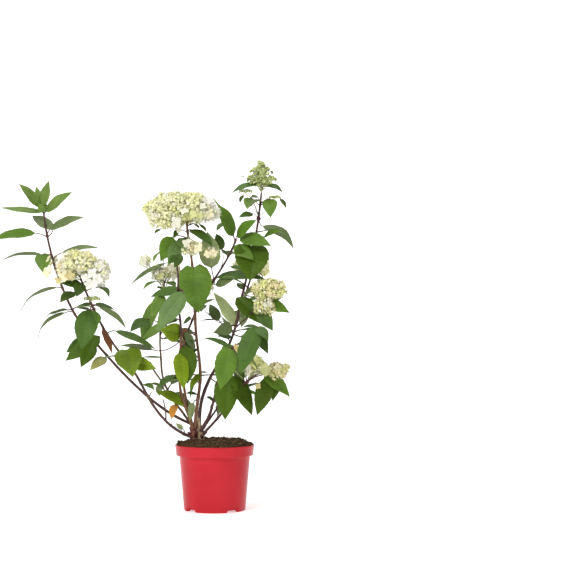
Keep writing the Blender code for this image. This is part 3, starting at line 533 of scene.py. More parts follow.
# Leaves that show. Each grows from its limb on a leaf stalk:
# limb, blade's foot, blade's tip, seen width (picture px), side shown, depth of foot and of tip from the limb (mm),
# tint, arch, [place on the limb where the stalk leaves it]
SHOWN = [
    # far left shoot
    ("far_left", (40.5, 206.5), (18.5, 183.5), 10.5, "T", 0, -25, "t", 0.04, (43.4, 211)),
    ("far_left", (43, 206), (49, 180.5), 10, "T", 0, 15, "t", 0.04, (43.4, 211)),
    ("far_left", (41.5, 204), (36, 186.3), 7, "T", 4, 20, "l", 0.02, (43.4, 211)),
    ("far_left", (45.8, 211.6), (72.5, 192), 9.5, "T", 0, -20, "t", 0.06, (44.3, 214)),
    ("far_left", (42.6, 212.4), (-1, 207.8), 6, "T", 0, 10, "t", 0.02, (44.3, 214)),
    ("far_left", (43.4, 212.5), (39.0, 203), 7.5, "T", -7, -10, "l", 0.02, (44.3, 214)),
    ("far_left", (43.8, 212), (46.5, 203.5), 6, "T", -6, 15, "t", 0.02, (44.3, 214)),
    ("far_left", (50.2, 229.2), (84.5, 217.3), 8.5, "T", -4, -15, "e", 0.08, (47.2, 236.5)),
    ("far_left", (51.8, 229.8), (32, 215.6), 11, "T", 2, 45, "e", 0.06, (47.2, 236.5)),
    ("far_left", (35.5, 233.2), (-8, 240.5), 9.5, "T", -3, -10, "g", 0.10, (46.8, 236.8)),
    ("far_left", (42.5, 255), (-3, 264.5), 2.5, "T", 0, 15, "e", 0.12, (51, 254)),
    ("far_left", (43.5, 254), (43, 273), 16, "T", -12, -60, "g", 0.06, (51.5, 257)),
    ("far_left", (61, 253), (100, 248.5), 5.2, "T", 0, -10, "e", 0.09, (52.5, 260)),
    ("far_left", (58, 287.5), (20, 314.5), 2.2, "T", 0, 20, "e", 0.17, (61.5, 288.3)),
    ("far_left", (66, 312.5), (38, 342.5), 3.2, "T", 0, 15, "e", 0.20, (74, 312.8)),
    ("far_left", (99, 337), (65.5, 361), 17, "T", -4, -25, "n", 0.08, (91, 336)),
    ("far_left", (93, 343), (80.7, 367.5), 16, "T", -12, -40, "n", 0.10, (92, 338)),
    ("far_left", (84, 340), (66, 352.5), 12, "T", 2, -30, "m", 0.08, (88, 335)),
    ("far_left", (105.5, 357), (90, 370.5), 10, "T", -4, -45, "Y", 0.08, (107, 356)),
    # left flowering shoot
    # the dark tint on the next leaf paints the shade that it lies in
    ("left", (82.5, 285), (60, 283.5), 9, "T", -8, -35, "d", 0.06, (84, 288)),
    ("left", (81, 283), (76.5, 297), 13, "T", -14, -55, "d", 0.06, (84, 288)),
    ("left", (74, 292), (60, 302.5), 9.5, "T", -10, -55, "d", 0.06, (85, 289)),
    ("left", (94, 288.3), (109.4, 298), 4.5, "T", 0, -50, "d", 0.20, (87, 291)),
    ("left", (91, 305), (80, 305), 3.5, "T", 4, 30, "d", 0.08, (91, 303)),
    ("left", (88, 310), (74.5, 307.5), 2.5, "T", 0, 50, "e", 0.06, (92, 305)),
    ("left", (95, 304.4), (115.5, 310.5), 4, "T", 4, 40, "d", 0.08, (92, 305)),
    ("left", (99, 306.5), (126, 329), 6, "T", 0, -15, "e", 0.10, (92, 305)),
    ("left", (90.5, 310.5), (81.3, 349), 23, "T", -14, -25, "m", 0.08, (95.5, 311)),
    ("left", (95, 311), (97.5, 325), 8, "T", -6, -45, "g", 0.06, (95.5, 311)),
    ("left", (102.5, 329), (112, 354), 6.5, "T", -4, -10, "o", 0.06, (102, 327)),
    ("left", (115, 330.8), (156, 350), 7, "T", 0, 5, "m", 0.06, (107.5, 333.7)),
    ("left", (126.5, 350), (133, 377), 27, "T", -12, -60, "y", 0.08, (124, 360)),
    ("left", (143, 384.5), (154.5, 390.5), 5.5, "T", -4, -40, "g", 0.12, (140.6, 384)),
    ("left", (183, 429), (175.5, 423), 4.5, "T", -2, -8, "P", 0.05, (186, 433)),
    ("left", (181, 430), (181.5, 423.5), 3, "T", -3, -6, "P", 0.05, (184, 433)),
    # thin shoot behind, left of the middle
    ("back_left", (148, 319.5), (130, 332), 11, "T", -10, -50, "m", 0.08, (160.3, 325)),
    ("left", (134, 361), (156.5, 368.8), 13.5, "T", -4, -40, "F", 0.06, (128.5, 367)),
    ("back_left", (161, 357.5), (140, 357.5), 1.9, "T", 0, 20, "l", 0.04, (161, 360)),
    ("back_left", (166, 263), (129.8, 286.3), 4.8, "T", -6, -15, "e", 0.08, (164, 283)),
    ("back_left", (162, 282.7), (142.8, 290.5), 3, "T", -4, -45, "l", 0.18, (164, 284)),
    ("back_left", (159, 252), (153.8, 262), 4, "T", -4, -40, "l", 0.06, (164, 282)),
    ("back_left", (166.5, 282), (175.5, 287.5), 6, "T", -3, -50, "d", 0.08, (164, 284)),
    ("back_left", (163.5, 288.5), (156.5, 287.8), 2.8, "T", -2, -30, "d", 0.05, (164, 290)),
    ("back_left", (158, 299), (142, 344), 13, "T", -14, -20, "l", 0.05, (162.5, 300)),
    ("back_left", (166, 322), (140, 343.5), 9, "T", -14, -30, "l", 0.05, (161.5, 335)),
    # shoot left of the middle
    ("mid_left", (181, 254), (174, 268), 9, "T", -4, -25, "d", 0.06, (177.2, 268)),
    ("mid_left", (176, 255), (168.5, 264), 7, "T", 4, -15, "m", 0.06, (177.2, 268)),
    ("mid_left", (183, 291), (150.2, 297.5), 9, "T", 2, 20, "m", 0.10, (178.2, 289)),
    ("mid_left", (183.5, 293), (156, 331), 20, "T", -12, -20, "b", 0.08, (178.6, 293)),
    ("mid_left", (163, 294), (150.5, 317), 13, "T", 6, -20, "l", 0.06, (178.8, 296)),
    # the deep tint on the next leaf paints the shade that it lies in, behind the sheen leaf
    ("mid_left", (176, 318.5), (159, 327), 8, "T", -2, -50, "m", 0.06, (180.4, 321)),
    ("mid_left", (180.5, 334), (160.5, 329.5), 19, "T", 8, -40, "F", 0.06, (180.6, 336)),
    ("mid_left", (181.5, 330), (187, 341), 8, "T", 6, 50, "o", 0.06, (180.4, 331)),
    ("mid_left", (184, 333), (195.5, 351), 8, "T", 12, 40, "e", 0.06, (180.4, 335)),
    ("mid_left", (153, 349.8), (119, 345.5), 5.5, "T", 2, 5, "e", 0.05, (180.5, 341)),
    ("mid_left", (179, 352.5), (183.5, 389.5), 14.5, "T", -10, -20, "F", 0.05, (180.7, 350), 0.10),
    # the next, dark leaf, set behind the bright leaf of the row above, paints the shaded right half of that leaf
    ("mid_left", (186, 346.5), (187.5, 384), 20, "T", -3, 15, "n", 0.06, (180.7, 345)),
    ("mid_left", (185, 342), (195, 353), 10, "T", 4, 50, "m", 0.06, (180.7, 344)),
    ("mid_left", (174, 375.5), (158.5, 388), 6.5, "T", -3, -40, "m", 0.08, (181, 378)),
    ("mid_left", (185, 404.5), (155.5, 392), 10.5, "T", -3, -25, "F", 0.07, (186.5, 409)),
    ("mid_left", (175, 404.5), (171.5, 420), 8, "T", -6, -30, "O", 0.10, (184.5, 404)),
    # centre shoot, under the big flower head
    ("centre", (193.5, 267.5), (198.5, 313), 34, "T", -14, -25, "g", 0.06, (192, 263)),
    ("centre", (172, 237.5), (160.5, 262), 17, "T", -8, -40, "g", 0.10, (188.5, 238)),
    ("centre", (179, 242), (168, 266), 14, "T", -14, -35, "b", 0.10, (188.7, 242)),
    ("centre", (178, 239.5), (191, 252), 10, "T", -6, -40, "b", 0.08, (188.5, 238)),
    ("centre", (177.5, 230), (173.5, 238.5), 5.5, "T", -6, -20, "d", 0.05, (188.5, 232)),
    ("centre", (160, 229), (154.3, 233.8), 3.2, "T", -4, -20, "d", 0.05, (188.5, 222)),
    ("centre", (190.5, 229.5), (213, 247.5), 9.5, "T", -3, -40, "m", 0.10, (188.5, 231)),
    ("centre", (193.6, 402.5), (190, 420.9), 7.5, "U", -6, -30, "p", 0.08, (198.6, 399)),
    ("centre", (200, 373.5), (189.8, 390), 6.5, "T", -6, -20, "F", 0.06, (200, 379)),
    ("centre", (201, 372.7), (208.5, 372.2), 1.8, "T", 0, 35, "l", 0.04, (200, 376)),
    ("centre", (197, 394), (185.5, 393.5), 3.4, "T", -3, -25, "d", 0.05, (199, 396)),
    ("centre", (195, 377), (190.5, 399), 3.2, "T", -8, -15, "l", 0.04, (199.8, 381)),
    ("centre", (199.5, 224), (206, 232), 3.4, "T", -4, -20, "d", 0.06, (188.5, 226)),
    ("centre", (194, 223.5), (199.5, 229), 2.6, "T", -4, -20, "d", 0.06, (188.5, 226)),
    ("centre", (191, 319), (183, 324), 4, "T", 6, 45, "d", 0.05, (195.2, 319)),
    # shoot that crosses behind and forks at the red node
    ("mid_right", (211.5, 267), (207.5, 231.5), 21.5, "U", -8, -10, "p", 0.05, (214, 279)),
    ("mid_right", (222, 250), (216, 233.5), 10, "T", 4, 20, "d", 0.08, (214.2, 278.3)),
    ("mid_right", (217, 277), (268, 281), 9.5, "T", -4, -12, "m", 0.09, (214.2, 278.3)),
    ("mid_right", (215.5, 285), (236, 277.5), 9, "T", -8, -20, "e", 0.06, (214.2, 278.3)),
    ("mid_right", (233.4, 236.5), (211, 196), 13, "T", -3, -20, "g", 0.07, (236, 241)),
    ("mid_right", (236.5, 236.5), (257, 220), 11, "T", -2, -45, "g", 0.07, (236, 241)),
    ("mid_right", (225.5, 222), (216.5, 231.5), 5, "T", 2, -40, "l", 0.08, (236, 242)),
    ("mid_right", (233, 251.7), (254, 260.5), 7, "T", -12, -30, "l", 0.08, (230, 255)),
    ("mid_right", (234, 246), (254, 258), 12, "T", -6, -30, "g", 0.06, (233, 250)),
    # tall right shoot
    ("tall_right", (250, 198), (247, 209.5), 11, "T", -6, -40, "l", 0.06, (258.6, 216)),
    ("tall_right", (259, 199.5), (251.5, 205), 6, "T", -8, -55, "e", 0.06, (258.6, 216)),
    ("tall_right", (257, 196), (251, 197.5), 4, "U", -2, 30, "e", 0.05, (260, 203)),
    ("tall_right", (269, 199), (270.7, 218), 15, "T", -8, -55, "g", 0.08, (260, 203)),
    ("tall_right", (242.8, 195), (240, 203), 4, "T", -4, -20, "d", 0.06, (260, 205)),
    ("tall_right", (280, 198.5), (286, 208.5), 4, "T", 0, -10, "d", 0.14, (260, 205)),
    ("tall_right", (258, 184), (231.5, 193.8), 5.5, "T", -4, -12, "m", 0.12, (261, 188)),
    ("tall_right", (264.5, 186), (283, 193), 5, "T", -4, -20, "d", 0.20, (261, 188)),
    ("tall_right", (252.5, 213.5), (238.5, 217.8), 6.5, "T", -2, -30, "m", 0.10, (258.4, 218)),
    ("tall_right", (262.5, 226), (293.6, 249.5), 9.5, "T", 0, -15, "e", 0.19, (258.6, 217.6)),
    ("tall_right", (240, 237), (271.3, 246), 14, "T", -22, -45, "g", 0.08, (254.5, 242)),
    ("tall_right", (264, 236.5), (281, 231.5), 6, "T", -4, -40, "g", 0.08, (254.6, 242)),
    ("tall_right", (252, 246), (250, 281), 34, "T", -24, -40, "n", 0.08, (252.6, 250)),
    ("tall_right", (244.5, 295.5), (254, 290), 5.5, "T", -4, -40, "e", 0.08, (243, 294)),
    ("tall_right", (237, 298.5), (263.5, 325), 17, "T", -8, -15, "n", 0.08, (241.5, 300)),
    ("tall_right", (262, 278), (256, 290), 8, "T", -30, -40, "m", 0.06, (249, 266)),
    ("tall_right", (232, 326), (213, 333), 13, "T", -6, -45, "e", 0.08, (234.6, 326)),
    # this leaf shows the brightened pale underside colour on top: painted light
    ("tall_right", (235, 325), (213, 292), 12, "T", 0, 10, "W", 0.05, (234.6, 326)),
    ("tall_right", (219, 320.5), (209.5, 304), 10.5, "T", 6, 30, "e", 0.06, (234.8, 325)),
    ("tall_right", (214, 319.7), (199, 320.8), 1.5, "T", 6, 20, "e", 0.03, (234.8, 325)),
    ("tall_right", (214, 318.5), (202.8, 310), 1.5, "T", 6, 20, "e", 0.03, (234.8, 325)),
    # front right shoot
    ("front_right", (231, 348), (202.5, 338.3), 4.8, "T", -2, 5, "m", 0.09, (230.5, 348.5)),
    ("front_right", (228, 348), (220, 390), 22, "T", -12, -20, "g", 0.08, (230.5, 348.5)),
    ("front_right", (234.5, 350), (239, 374), 8, "T", 8, -10, "b", 0.06, (232, 348)),
    ("front_right", (235.5, 344), (237.3, 353), 4.5, "T", -14, -10, "A", 0.05, (234, 346)),
    ("front_right", (256, 328), (241, 374.5), 21, "T", -10, -20, "m", 0.08, (240.6, 342)),
    ("front_right", (257, 326.5), (268.5, 341), 11, "T", -4, -50, "m", 0.08, (241, 342)),
    ("front_right", (256.5, 327), (241, 328), 3.2, "T", -8, 20, "d", 0.10, (241, 341)),
    ("front_right", (258, 333), (268, 354), 11, "T", 14, -20, "d", 0.08, (241, 342)),
    # side branch of the tall shoot
    ("twig_right", (262, 300), (290, 313), 13, "T", 4, -12, "g", 0.10, (258.6, 303)),
    ("twig_right", (259, 308), (273, 331), 15, "T", -4, -25, "m", 0.08, (257.8, 306)),
    ("twig_right", (264, 305), (284, 297), 7, "T", 20, 15, "m", 0.10, (258.2, 304.5)),
    # low right shoot
    ("low_right", (264, 374), (290, 397), 14, "T", 8, -12, "g", 0.10, (257.5, 373)),
    ("low_right", (226.5, 374), (225, 420), 24, "T", -8, -20, "n", 0.08, (236, 390)),
    ("low_right", (233, 376), (252, 415.8), 16, "T", -2, -15, "N", 0.08, (238, 389)),
    ("low_right", (270, 378), (257, 415.5), 18, "T", -2, -18, "N", 0.08, (252, 378)),
    ("low_right", (275, 377), (272.5, 401), 12, "T", 10, -15, "N", 0.08, (256, 375.5)),
    ("low_right", (215, 401.5), (206, 397), 3.5, "T", -2, -25, "d", 0.06, (216, 418)),
    ("low_right", (247, 372), (262, 357), 10, "T", 16, 40, "m", 0.06, (247, 381)),
]

TAILED = [r for r in SHOWN if r[1:3] == ((233.4, 236.5), (211, 196))]
leaf_rng = random.Random(41)
leaf_mats = [MATS[k] for k in list(LEAF_TOP) + list(LEAF_LOW) + list(VEIN)]
leaf_heaps = {k: Heap(leaf_mats) for k in ("left", "middle", "right", "back")}
twigs = Heap([MATS["petiole"]])
GROUP = {"far_left": "left", "left": "left", "back_left": "middle", "mid_left": "middle", "centre": "middle",
         "mid_right": "right", "tall_right": "right", "front_right": "right", "low_right": "right", "twig_right": "right"}


def stalk(foot, blade_foot, blade_dir, r0=0.0018, r1=0.0014):
    """Leaf stalk from the limb to the blade, swinging round into the midrib's line."""
    d = float(np.linalg.norm(blade_foot - foot))
    ctrl = blade_foot - blade_dir * d * 0.45
    n = max(4, int(d / 0.006))
    pts = bezier(foot, ctrl, blade_foot, n)
    pts.append(blade_foot + blade_dir * 0.004)
    rad = [r0 + (r1 - r0) * i / n for i in range(n)] + [r1 * 0.6]
    rad[0] *= 1.35
    tube(twigs, pts, rad, 6, "petiole")


def broad_width(s):
    """Heart-shaped outline, widest in its lower third."""
    s = np.clip(s, 0.0, 1.0)
    w = (s + 0.02) ** 0.45 * (1.0 - s) ** 0.84
    w = w / (0.355 ** 0.45 * 0.665 ** 0.84)
    return w * (1.0 - 0.40 * s ** 5)


def shown_leaf(row):
    name, foot, tip, wide, face, dfoot, dtip, tint, arch = row[:9]
    limb = LIMBS[name]
    node = row[9] if len(row) > 9 else foot
    t = limb.t_seen_at(*node)
    root = limb.at(t)
    b = at_px(foot[0], foot[1], root[1] + dfoot / 1000.0)
    e = at_px(tip[0], tip[1], root[1] + (dfoot + dtip) / 1000.0)
    L = float(np.linalg.norm(e - b))
    a = unit(e - b)
    mmpx = (b[1] - EYE[1]) / FOCAL_PX
    seen = wide * mmpx
    edge_on = seen < 0.26 * L
    ratio = 0.38 if edge_on else 0.45 + leaf_rng.uniform(-0.02, 0.02)
    true = max(ratio * L, seen)
    if L < 0.035:
        true = max(seen, 0.42 * L)
    cam = unit(EYE - b)
    cam_p = unit(cam - a * cam.dot(a))
    up = np.cross(a, cam_p)
    if up[2] < 0:
        up = -up
    f = min(1.0, seen / true)
    phi = math.asin(f)
    sgn = 1.0 if face == "T" else -1.0
    n = up * math.cos(phi) + cam_p * math.sin(phi) * sgn
    fold, curl, twist, wave = ((0.04, 0.04, 0.05, 0.025) if f < 0.45 else
                               ((0.14, 0.10, 0.12, 0.045) if f < 0.85 else (0.22, 0.16, 0.20, 0.060)))
    fold = row[10] if len(row) > 10 else fold * leaf_rng.uniform(0.7, 1.4)
    leaf(leaf_heaps[GROUP[name]], b, e, n, true, leaf_rng, top=TOPS.get(tint, "leaf_mid"), low=LOWS[tint], arch=arch,
         fold=fold, curl=curl * leaf_rng.uniform(0.6, 1.3), twist=twist * leaf_rng.uniform(-1, 1),
         sway=leaf_rng.uniform(-0.022, 0.022), wave=wave, relief=1.9 if wide > 26 else 1.25, lobe=0.065 if wide > 26 else (0.035 if wide > 16 else 0.0),
         outline=tailed_width if row in TAILED else (broad_width if wide > 26 else half_width))
    stalk(root, b, unit(a + 0.25 * n), 0.0014 if L > 0.05 else 0.0010, 0.0011 if L > 0.05 else 0.0008)


for row in SHOWN:
    shown_leaf(row)

# Places where the view goes right through the crown, as circles in picture coordinates: nothing that the branching
# rule grows may cover them.
SKY = [(216, 366, 9), (212, 392, 8), (240, 400, 6), (206, 352, 8), (222, 306, 7), (206, 292, 6), (188, 290, 3),
       (168, 305, 0), (171, 360, 7), (150, 372, 5), (147, 403, 14), (168, 398, 7), (205, 412, 4), (228, 402, 3),
       (120, 300, 24), (128, 270, 16), (140, 240, 22), (100, 220, 30), (150, 310, 4), (130, 312, 10), (276, 268, 14),
       (280, 310, 14), (276, 350, 12), (290, 380, 16), (228, 290, 6), (204, 255, 4), (245, 300, 2), (232, 200, 12),
       (236, 180, 14), (280, 215, 14), (285, 180, 20), (246, 225, 3), (120, 400, 30), (100, 420, 40), (262, 400, 0),
       (280, 420, 30), (238, 418, 10), (150, 418, 10), (198, 371, 6), (203, 331, 9), (188, 360, 3), (170, 345, 4), (189, 320, 3), (90, 385, 14), (60, 390, 30), (30, 300, 10),
       (223, 426, 6), (161, 355, 7), (164, 369, 4), (161, 373, 4), (172, 372.5, 4), (168, 372, 3), (156, 381.5, 3), (152, 357, 4), (70, 243.5, 4), (30, 256, 4), (36, 251, 2), (284, 243, 4), (206, 422, 3), (232, 418, 5)]


def covers_sky(b, e, n, width):
    a = unit(e - b)
    s_dir = np.cross(n, a)
    for s in (0.05, 0.25, 0.45, 0.65, 0.85, 1.0):
        for k in (-0.8, 0.0, 0.8):
            p = b + (e - b) * s + s_dir * (k * 0.5 * width * float(half_width(np.array(s))))
            q = to_px(p)
            for cx, cy, r in SKY:
                if (q[0] - cx) ** 2 + (q[1] - cy) ** 2 < r * r:
                    return True
    return False


# the branching rule for what the front hides: pairs set crosswise up each limb
RULE = {
    "back_right": (0.34, 1.0, 0.055, 0.092, 7),
    "back_centre": (0.36, 1.0, 0.055, 0.088, 8),
    "back_low_right": (0.45, 1.0, 0.045, 0.085, 9),
    "back_low_left": (0.45, 1.0, 0.045, 0.082, 10),
    "back_left": (0.40, 0.98, 0.060, 0.080, 11),
    "tall_right": (0.38, 0.92, 0.075, 0.090, 12),
    "mid_right": (0.42, 0.98, 0.075, 0.086, 13),
    "centre": (0.30, 0.85, 0.080, 0.086, 14),
    "far_left": (0.52, 0.96, 0.075, 0.080, 15),
    "left": (0.45, 0.92, 0.075, 0.080, 16),
    "mid_left": (0.45, 0.60, 0.080, 0.080, 17),
    "front_right": (0.60, 0.95, 0.080, 0.080, 18),
    "low_right": (0.60, 0.95, 0.070, 0.078, 19),
}
# smaller leaves of side shoots in between, so that the crown is full at the back and the sides
BETWEEN = {
    "back_right": (0.42, 0.95, 0.085, 0.066, 27),
    "back_centre": (0.42, 0.95, 0.085, 0.066, 28),
    "back_low_right": (0.52, 0.95, 0.070, 0.062, 29),
    "back_low_left": (0.52, 0.95, 0.070, 0.062, 30),
    "tall_right": (0.42, 0.88, 0.120, 0.066, 32),
    "mid_right": (0.46, 0.92, 0.120, 0.066, 33),
    "centre": (0.36, 0.80, 0.120, 0.066, 34),
}
hidden = 0
for name, (t0, t1, step, length, seed) in list(RULE.items()) + list(BETWEEN.items()):
    limb = LIMBS[name]
    rng = random.Random(seed)
    back_limb = name.startswith("back_") and name != "back_left"
    t = t0
    turn = rng.uniform(0, 90)
    while t <= t1 + 1e-6:
        root = limb.at(t)
        tan = limb.tangent(t)
        e1 = unit(np.cross(tan, (0, 1, 0)))
        e2 = np.cross(tan, e1)
        for half in range(2):
            for attempt in range(6):
                ang = math.radians(turn + 180 * half + rng.uniform(-22, 22))
                if attempt:
                    ang += math.radians(rng.uniform(-40, 40))
                out = e1 * math.cos(ang) + e2 * math.sin(ang)
                if not back_limb and out[1] < 0.35:
                    continue
                rise = rng.uniform(0.05, 0.55)
                d = unit(out + tan * rise)
                b = root + d * rng.uniform(0.014, 0.022)
                L = length * rng.uniform(0.82, 1.18) * (0.75 + 0.25 * (1 - t))
                droop = rng.uniform(0.10, 0.65)
                e = b + unit(d + np.array([0, 0, -droop])) * L
                a = unit(e - b)
                up = np.array([rng.uniform(-0.35, 0.35), rng.uniform(-0.35, 0.35), 1.0])
                n = unit(up - a * up.dot(a))
                W = 0.46 * L
                if e[2] < 0.175 or covers_sky(b, e, n, W):
                    continue
                tint = rng.choice("gggddbl" if back_limb else "ggddb")
                leaf(leaf_heaps["back"], b, e, n, W, rng, top=TOPS[tint], low=LOWS[tint], arch=rng.uniform(0.05, 0.16),
                     fold=rng.uniform(0.15, 0.42), curl=rng.uniform(0.1, 0.26), twist=rng.uniform(-0.4, 0.4),
                     sway=rng.uniform(-0.04, 0.04), wave=rng.uniform(0.03, 0.09))
                stalk(root, b, unit(a + 0.25 * n))
                hidden += 1
                break
        turn += 90
        t += step / limb.span if limb.span > 0.3 else 0.5 * step / limb.span
print("leaves shown", len(SHOWN), "grown by rule", hidden)

# ------------------------------------------------------------------ stems and stub

stem_heap = Heap([MATS["bark"], MATS["shoot_brown"], MATS["shoot_olive"], MATS["node_red"]])
# coat below and above a place on the limb
COAT_OF = {"centre": (1.0, "shoot_brown", "bark"), "mid_left": (0.55, "shoot_brown", "bark"),
           "mid_right": (0.40, "shoot_brown", "bark"), "back_left": (1.0, "shoot_olive", "bark"),
           "back_low_left": (1.0, "shoot_olive", "bark")}
# where the foot of a limb runs on to: the clump for the left-hand shoots, the stub for the others
SEAT = {"far_left": (-0.0378, 0.0015, 0.2020), "left": (-0.0500, 0.0, 0.1740), "mid_left": (-0.0505, -0.0030, 0.1800),
        "mid_right": (-0.0515, 0.0030, 0.1800), "centre": (-0.0520, 0.0010, 0.1820), "back_left": (-0.0500, 0.0040, 0.1800),
        "back_centre": (-0.0480, 0.0040, 0.1800), "back_low_left": (-0.0515, 0.0045, 0.1800),
        "tall_right": (-0.0360, 0.0005, 0.2020), "back_right": (-0.0345, 0.0020, 0.1960),
        "front_right": (-0.0325, -0.0010, 0.1880), "low_right": (-0.0305, 0.0, 0.1800), "back_low_right": (-0.0320, 0.0020, 0.1850)}
LOW_SWELL = {"centre": 0.25, "mid_left": 0.45, "back_low_left": 0.30, "front_right": 0.55, "tall_right": -0.12}
wiggle = random.Random(5)
for name, limb in LIMBS.items():
    length = limb.span * 1.08
    n = max(12, int(length / 0.0035))
    nodes = sorted({round(limb.t_seen_at(*(r[9])), 2) for r in SHOWN if r[0] == name and len(r) > 9})
    ph = [wiggle.uniform(0, 6.28) for _ in range(8)]
    pts, rad = [], []
    for i in range(n + 1):
        t = i / n
        p = limb.at(t)
        amp = 0.0007 * math.sin(math.pi * t)
        p = p + np.array([math.sin(t * 23 + ph[0]), math.sin(t * 19 + ph[1]), 0.4 * math.sin(t * 31 + ph[2])]) * amp
        r = (limb.radius(t) * 1.15 + 0.0007 * t) * min(1.0, 0.45 + (1.0 - t) * 22.0)
        for tn in nodes:
            r += 0.00075 * math.exp(-((t - tn) * limb.span / 0.0035) ** 2)
        r *= 1.0 + 0.03 * math.sin(t * 90 + ph[3])
        r *= 1.0 + LOW_SWELL.get(name, 0.0) * math.exp(-t / 0.16)
        pts.append(p)
        rad.append(r)
    if name in SEAT:
        seat, foot = np.array(SEAT[name]), pts[0]
        lead = bezier(seat, foot - limb.tangent(0.0) * 0.35 * float(np.linalg.norm(foot - seat)), foot, 7)[:-1]
        pts = lead + pts
        rad = [rad[0] * 1.12] * 6 + rad
    split = int(round(n * COAT_OF[name][0])) + len(pts) - n if name in COAT_OF else 0
    ridge = [wiggle.uniform(-1, 1) for _ in range(10)]
    bumps = random.Random(len(name) * 7)
    table = {(i, k): bumps.uniform(-1, 1) for i in range(len(pts)) for k in range(10)}

    def relief(i, k, table=table, ridge=ridge):
        return 0.00009 * ridge[k] + 0.00010 * table[(i, k)] + (0.00022 if table[(i, k)] > 0.93 else 0.0)

    if name not in COAT_OF:
        tube(stem_heap, pts, rad, 10, "bark", relief=relief)
    else:
        low = min(len(pts), split + 1)
        tube(stem_heap, pts[:low], rad[:low], 10, COAT_OF[name][1], relief=relief)
        if low < len(pts) - 1:
            tube(stem_heap, pts[low - 1:], rad[low - 1:], 10, COAT_OF[name][2],
                 relief=lambda i, k, table=table, ridge=ridge, low=low: 0.00009 * ridge[k] + 0.0001 * table[(i + low - 1, k)])
# a thin dead side shoot low on the left stem
root = LIMBS["left"].at(LIMBS["left"].t_seen_at(166.5, 420.5))
tube(stem_heap, bezier(root, at_px(166.5, 411, root[1] - 0.003), at_px(162.8, 399, root[1] + 0.002), 12),
     [0.0021 - 0.0008 * j / 11 for j in range(12)], 8, "bark")
# crossing of the two left-hand shoots: a thick dark knot with the stumps of two side shoots
cross = LIMBS["left"].t_seen_at(148.5, 398)
c, d = LIMBS["left"].at(cross), LIMBS["left"].tangent(cross)
tube(stem_heap, [c + d * 0.011 * (j / 4 - 1) for j in range(9)],
     [0.0020 + 0.0021 * math.sin(math.pi * (j + 0.4) / 8.8) ** 0.8 for j in range(9)], 12, "shoot_olive",
     relief=lambda i, k: 0.0003 * math.sin(k * 2.6 + i * 1.3))
tube(stem_heap, bezier(c, at_px(150, 393.5, c[1] - 0.002), at_px(152.5, 391.6, c[1] - 0.003), 8),
     [0.0014 - 0.0006 * j / 7 for j in range(8)], 7, "bark")
tip_px = LIMBS["left"].at(LIMBS["left"].t_seen_at(171.5, 427))
tube(stem_heap, bezier(tip_px, at_px(171.6, 425, tip_px[1]), at_px(172.2, 422.8, tip_px[1]), 6),
     [0.0017 - 0.0008 * j / 5 for j in range(6)], 7, "bark")
# dark red knots where shoots were cut back and forked
knot = random.Random(19)
for name, px, r, ln in (("tall_right", (258.4, 217.6), 0.0058, 0.0058), ("mid_right", (214, 279), 0.0042, 0.0050),
                        ("left", (108, 335), 0.0034, 0.0060), ("far_left", (47, 236.6), 0.0030, 0.0040),
                        ("mid_right", (236, 241), 0.0030, 0.0045), ("low_right", (247, 381), 0.0034, 0.0060)):
    limb = LIMBS[name]
    c, d = limb.at(limb.t_seen_at(*px)), limb.tangent(limb.t_seen_at(*px))
    tab = [[knot.uniform(-1, 1) for _ in range(14)] for _ in range(9)]
    tube(stem_heap, [c + d * ln * (j / 4 - 1) for j in range(9)],
         [0.0016 + (r - 0.0016) * math.sin(math.pi * (j + 0.4) / 8.8) ** 0.8 for j in range(9)], 14, "node_red",
         relief=lambda i, k, tab=tab, r=r: 0.09 * r * tab[i][k])
stems = stem_heap.make("stems", sharp=60)

stub_heap = Heap([MATS["stub_bark"], MATS["bark"], MATS["node_red"]])
srng = random.Random(77)
rings, sides = 46, 28
lump_tab = [[srng.uniform(-1, 1) for _ in range(sides)] for _ in range(rings)]


def smooth_noise(tab, i, k, kernel=1):
    tot = 0.0
    cnt = 0
    for a in range(-kernel, kernel + 1):
        for b in range(-kernel, kernel + 1):
            ii = min(max(i + a, 0), len(tab) - 1)
            tot += tab[ii][(k + b) % len(tab[0])]
            cnt += 1
    return tot / cnt


pts, rad = [], []
for i in range(rings):
    t = i / (rings - 1)
    pts.append(np.array([STUB_X - 0.0008 - 0.0096 * t ** 0.9 + 0.0006 * math.sin(9 * t), STUB_Y + 0.0006 * math.sin(7 * t + 1),
                         STUB_Z0 - 0.003 + (STUB_Z1 - STUB_Z0 + 0.002) * t]))
    rad.append(0.0046 + 0.0040 * math.exp(-((t - 0.20) / 0.26) ** 2) + 0.0004 * math.sin(t * 21))
tube(stub_heap, pts, rad, sides, "stub_bark",
     relief=lambda i, k: 0.0013 * smooth_noise(lump_tab, i, k) + 0.00035 * lump_tab[i][k]
     + 0.0006 * math.sin(k * 2 * math.pi / sides * 5 + i * 0.05))
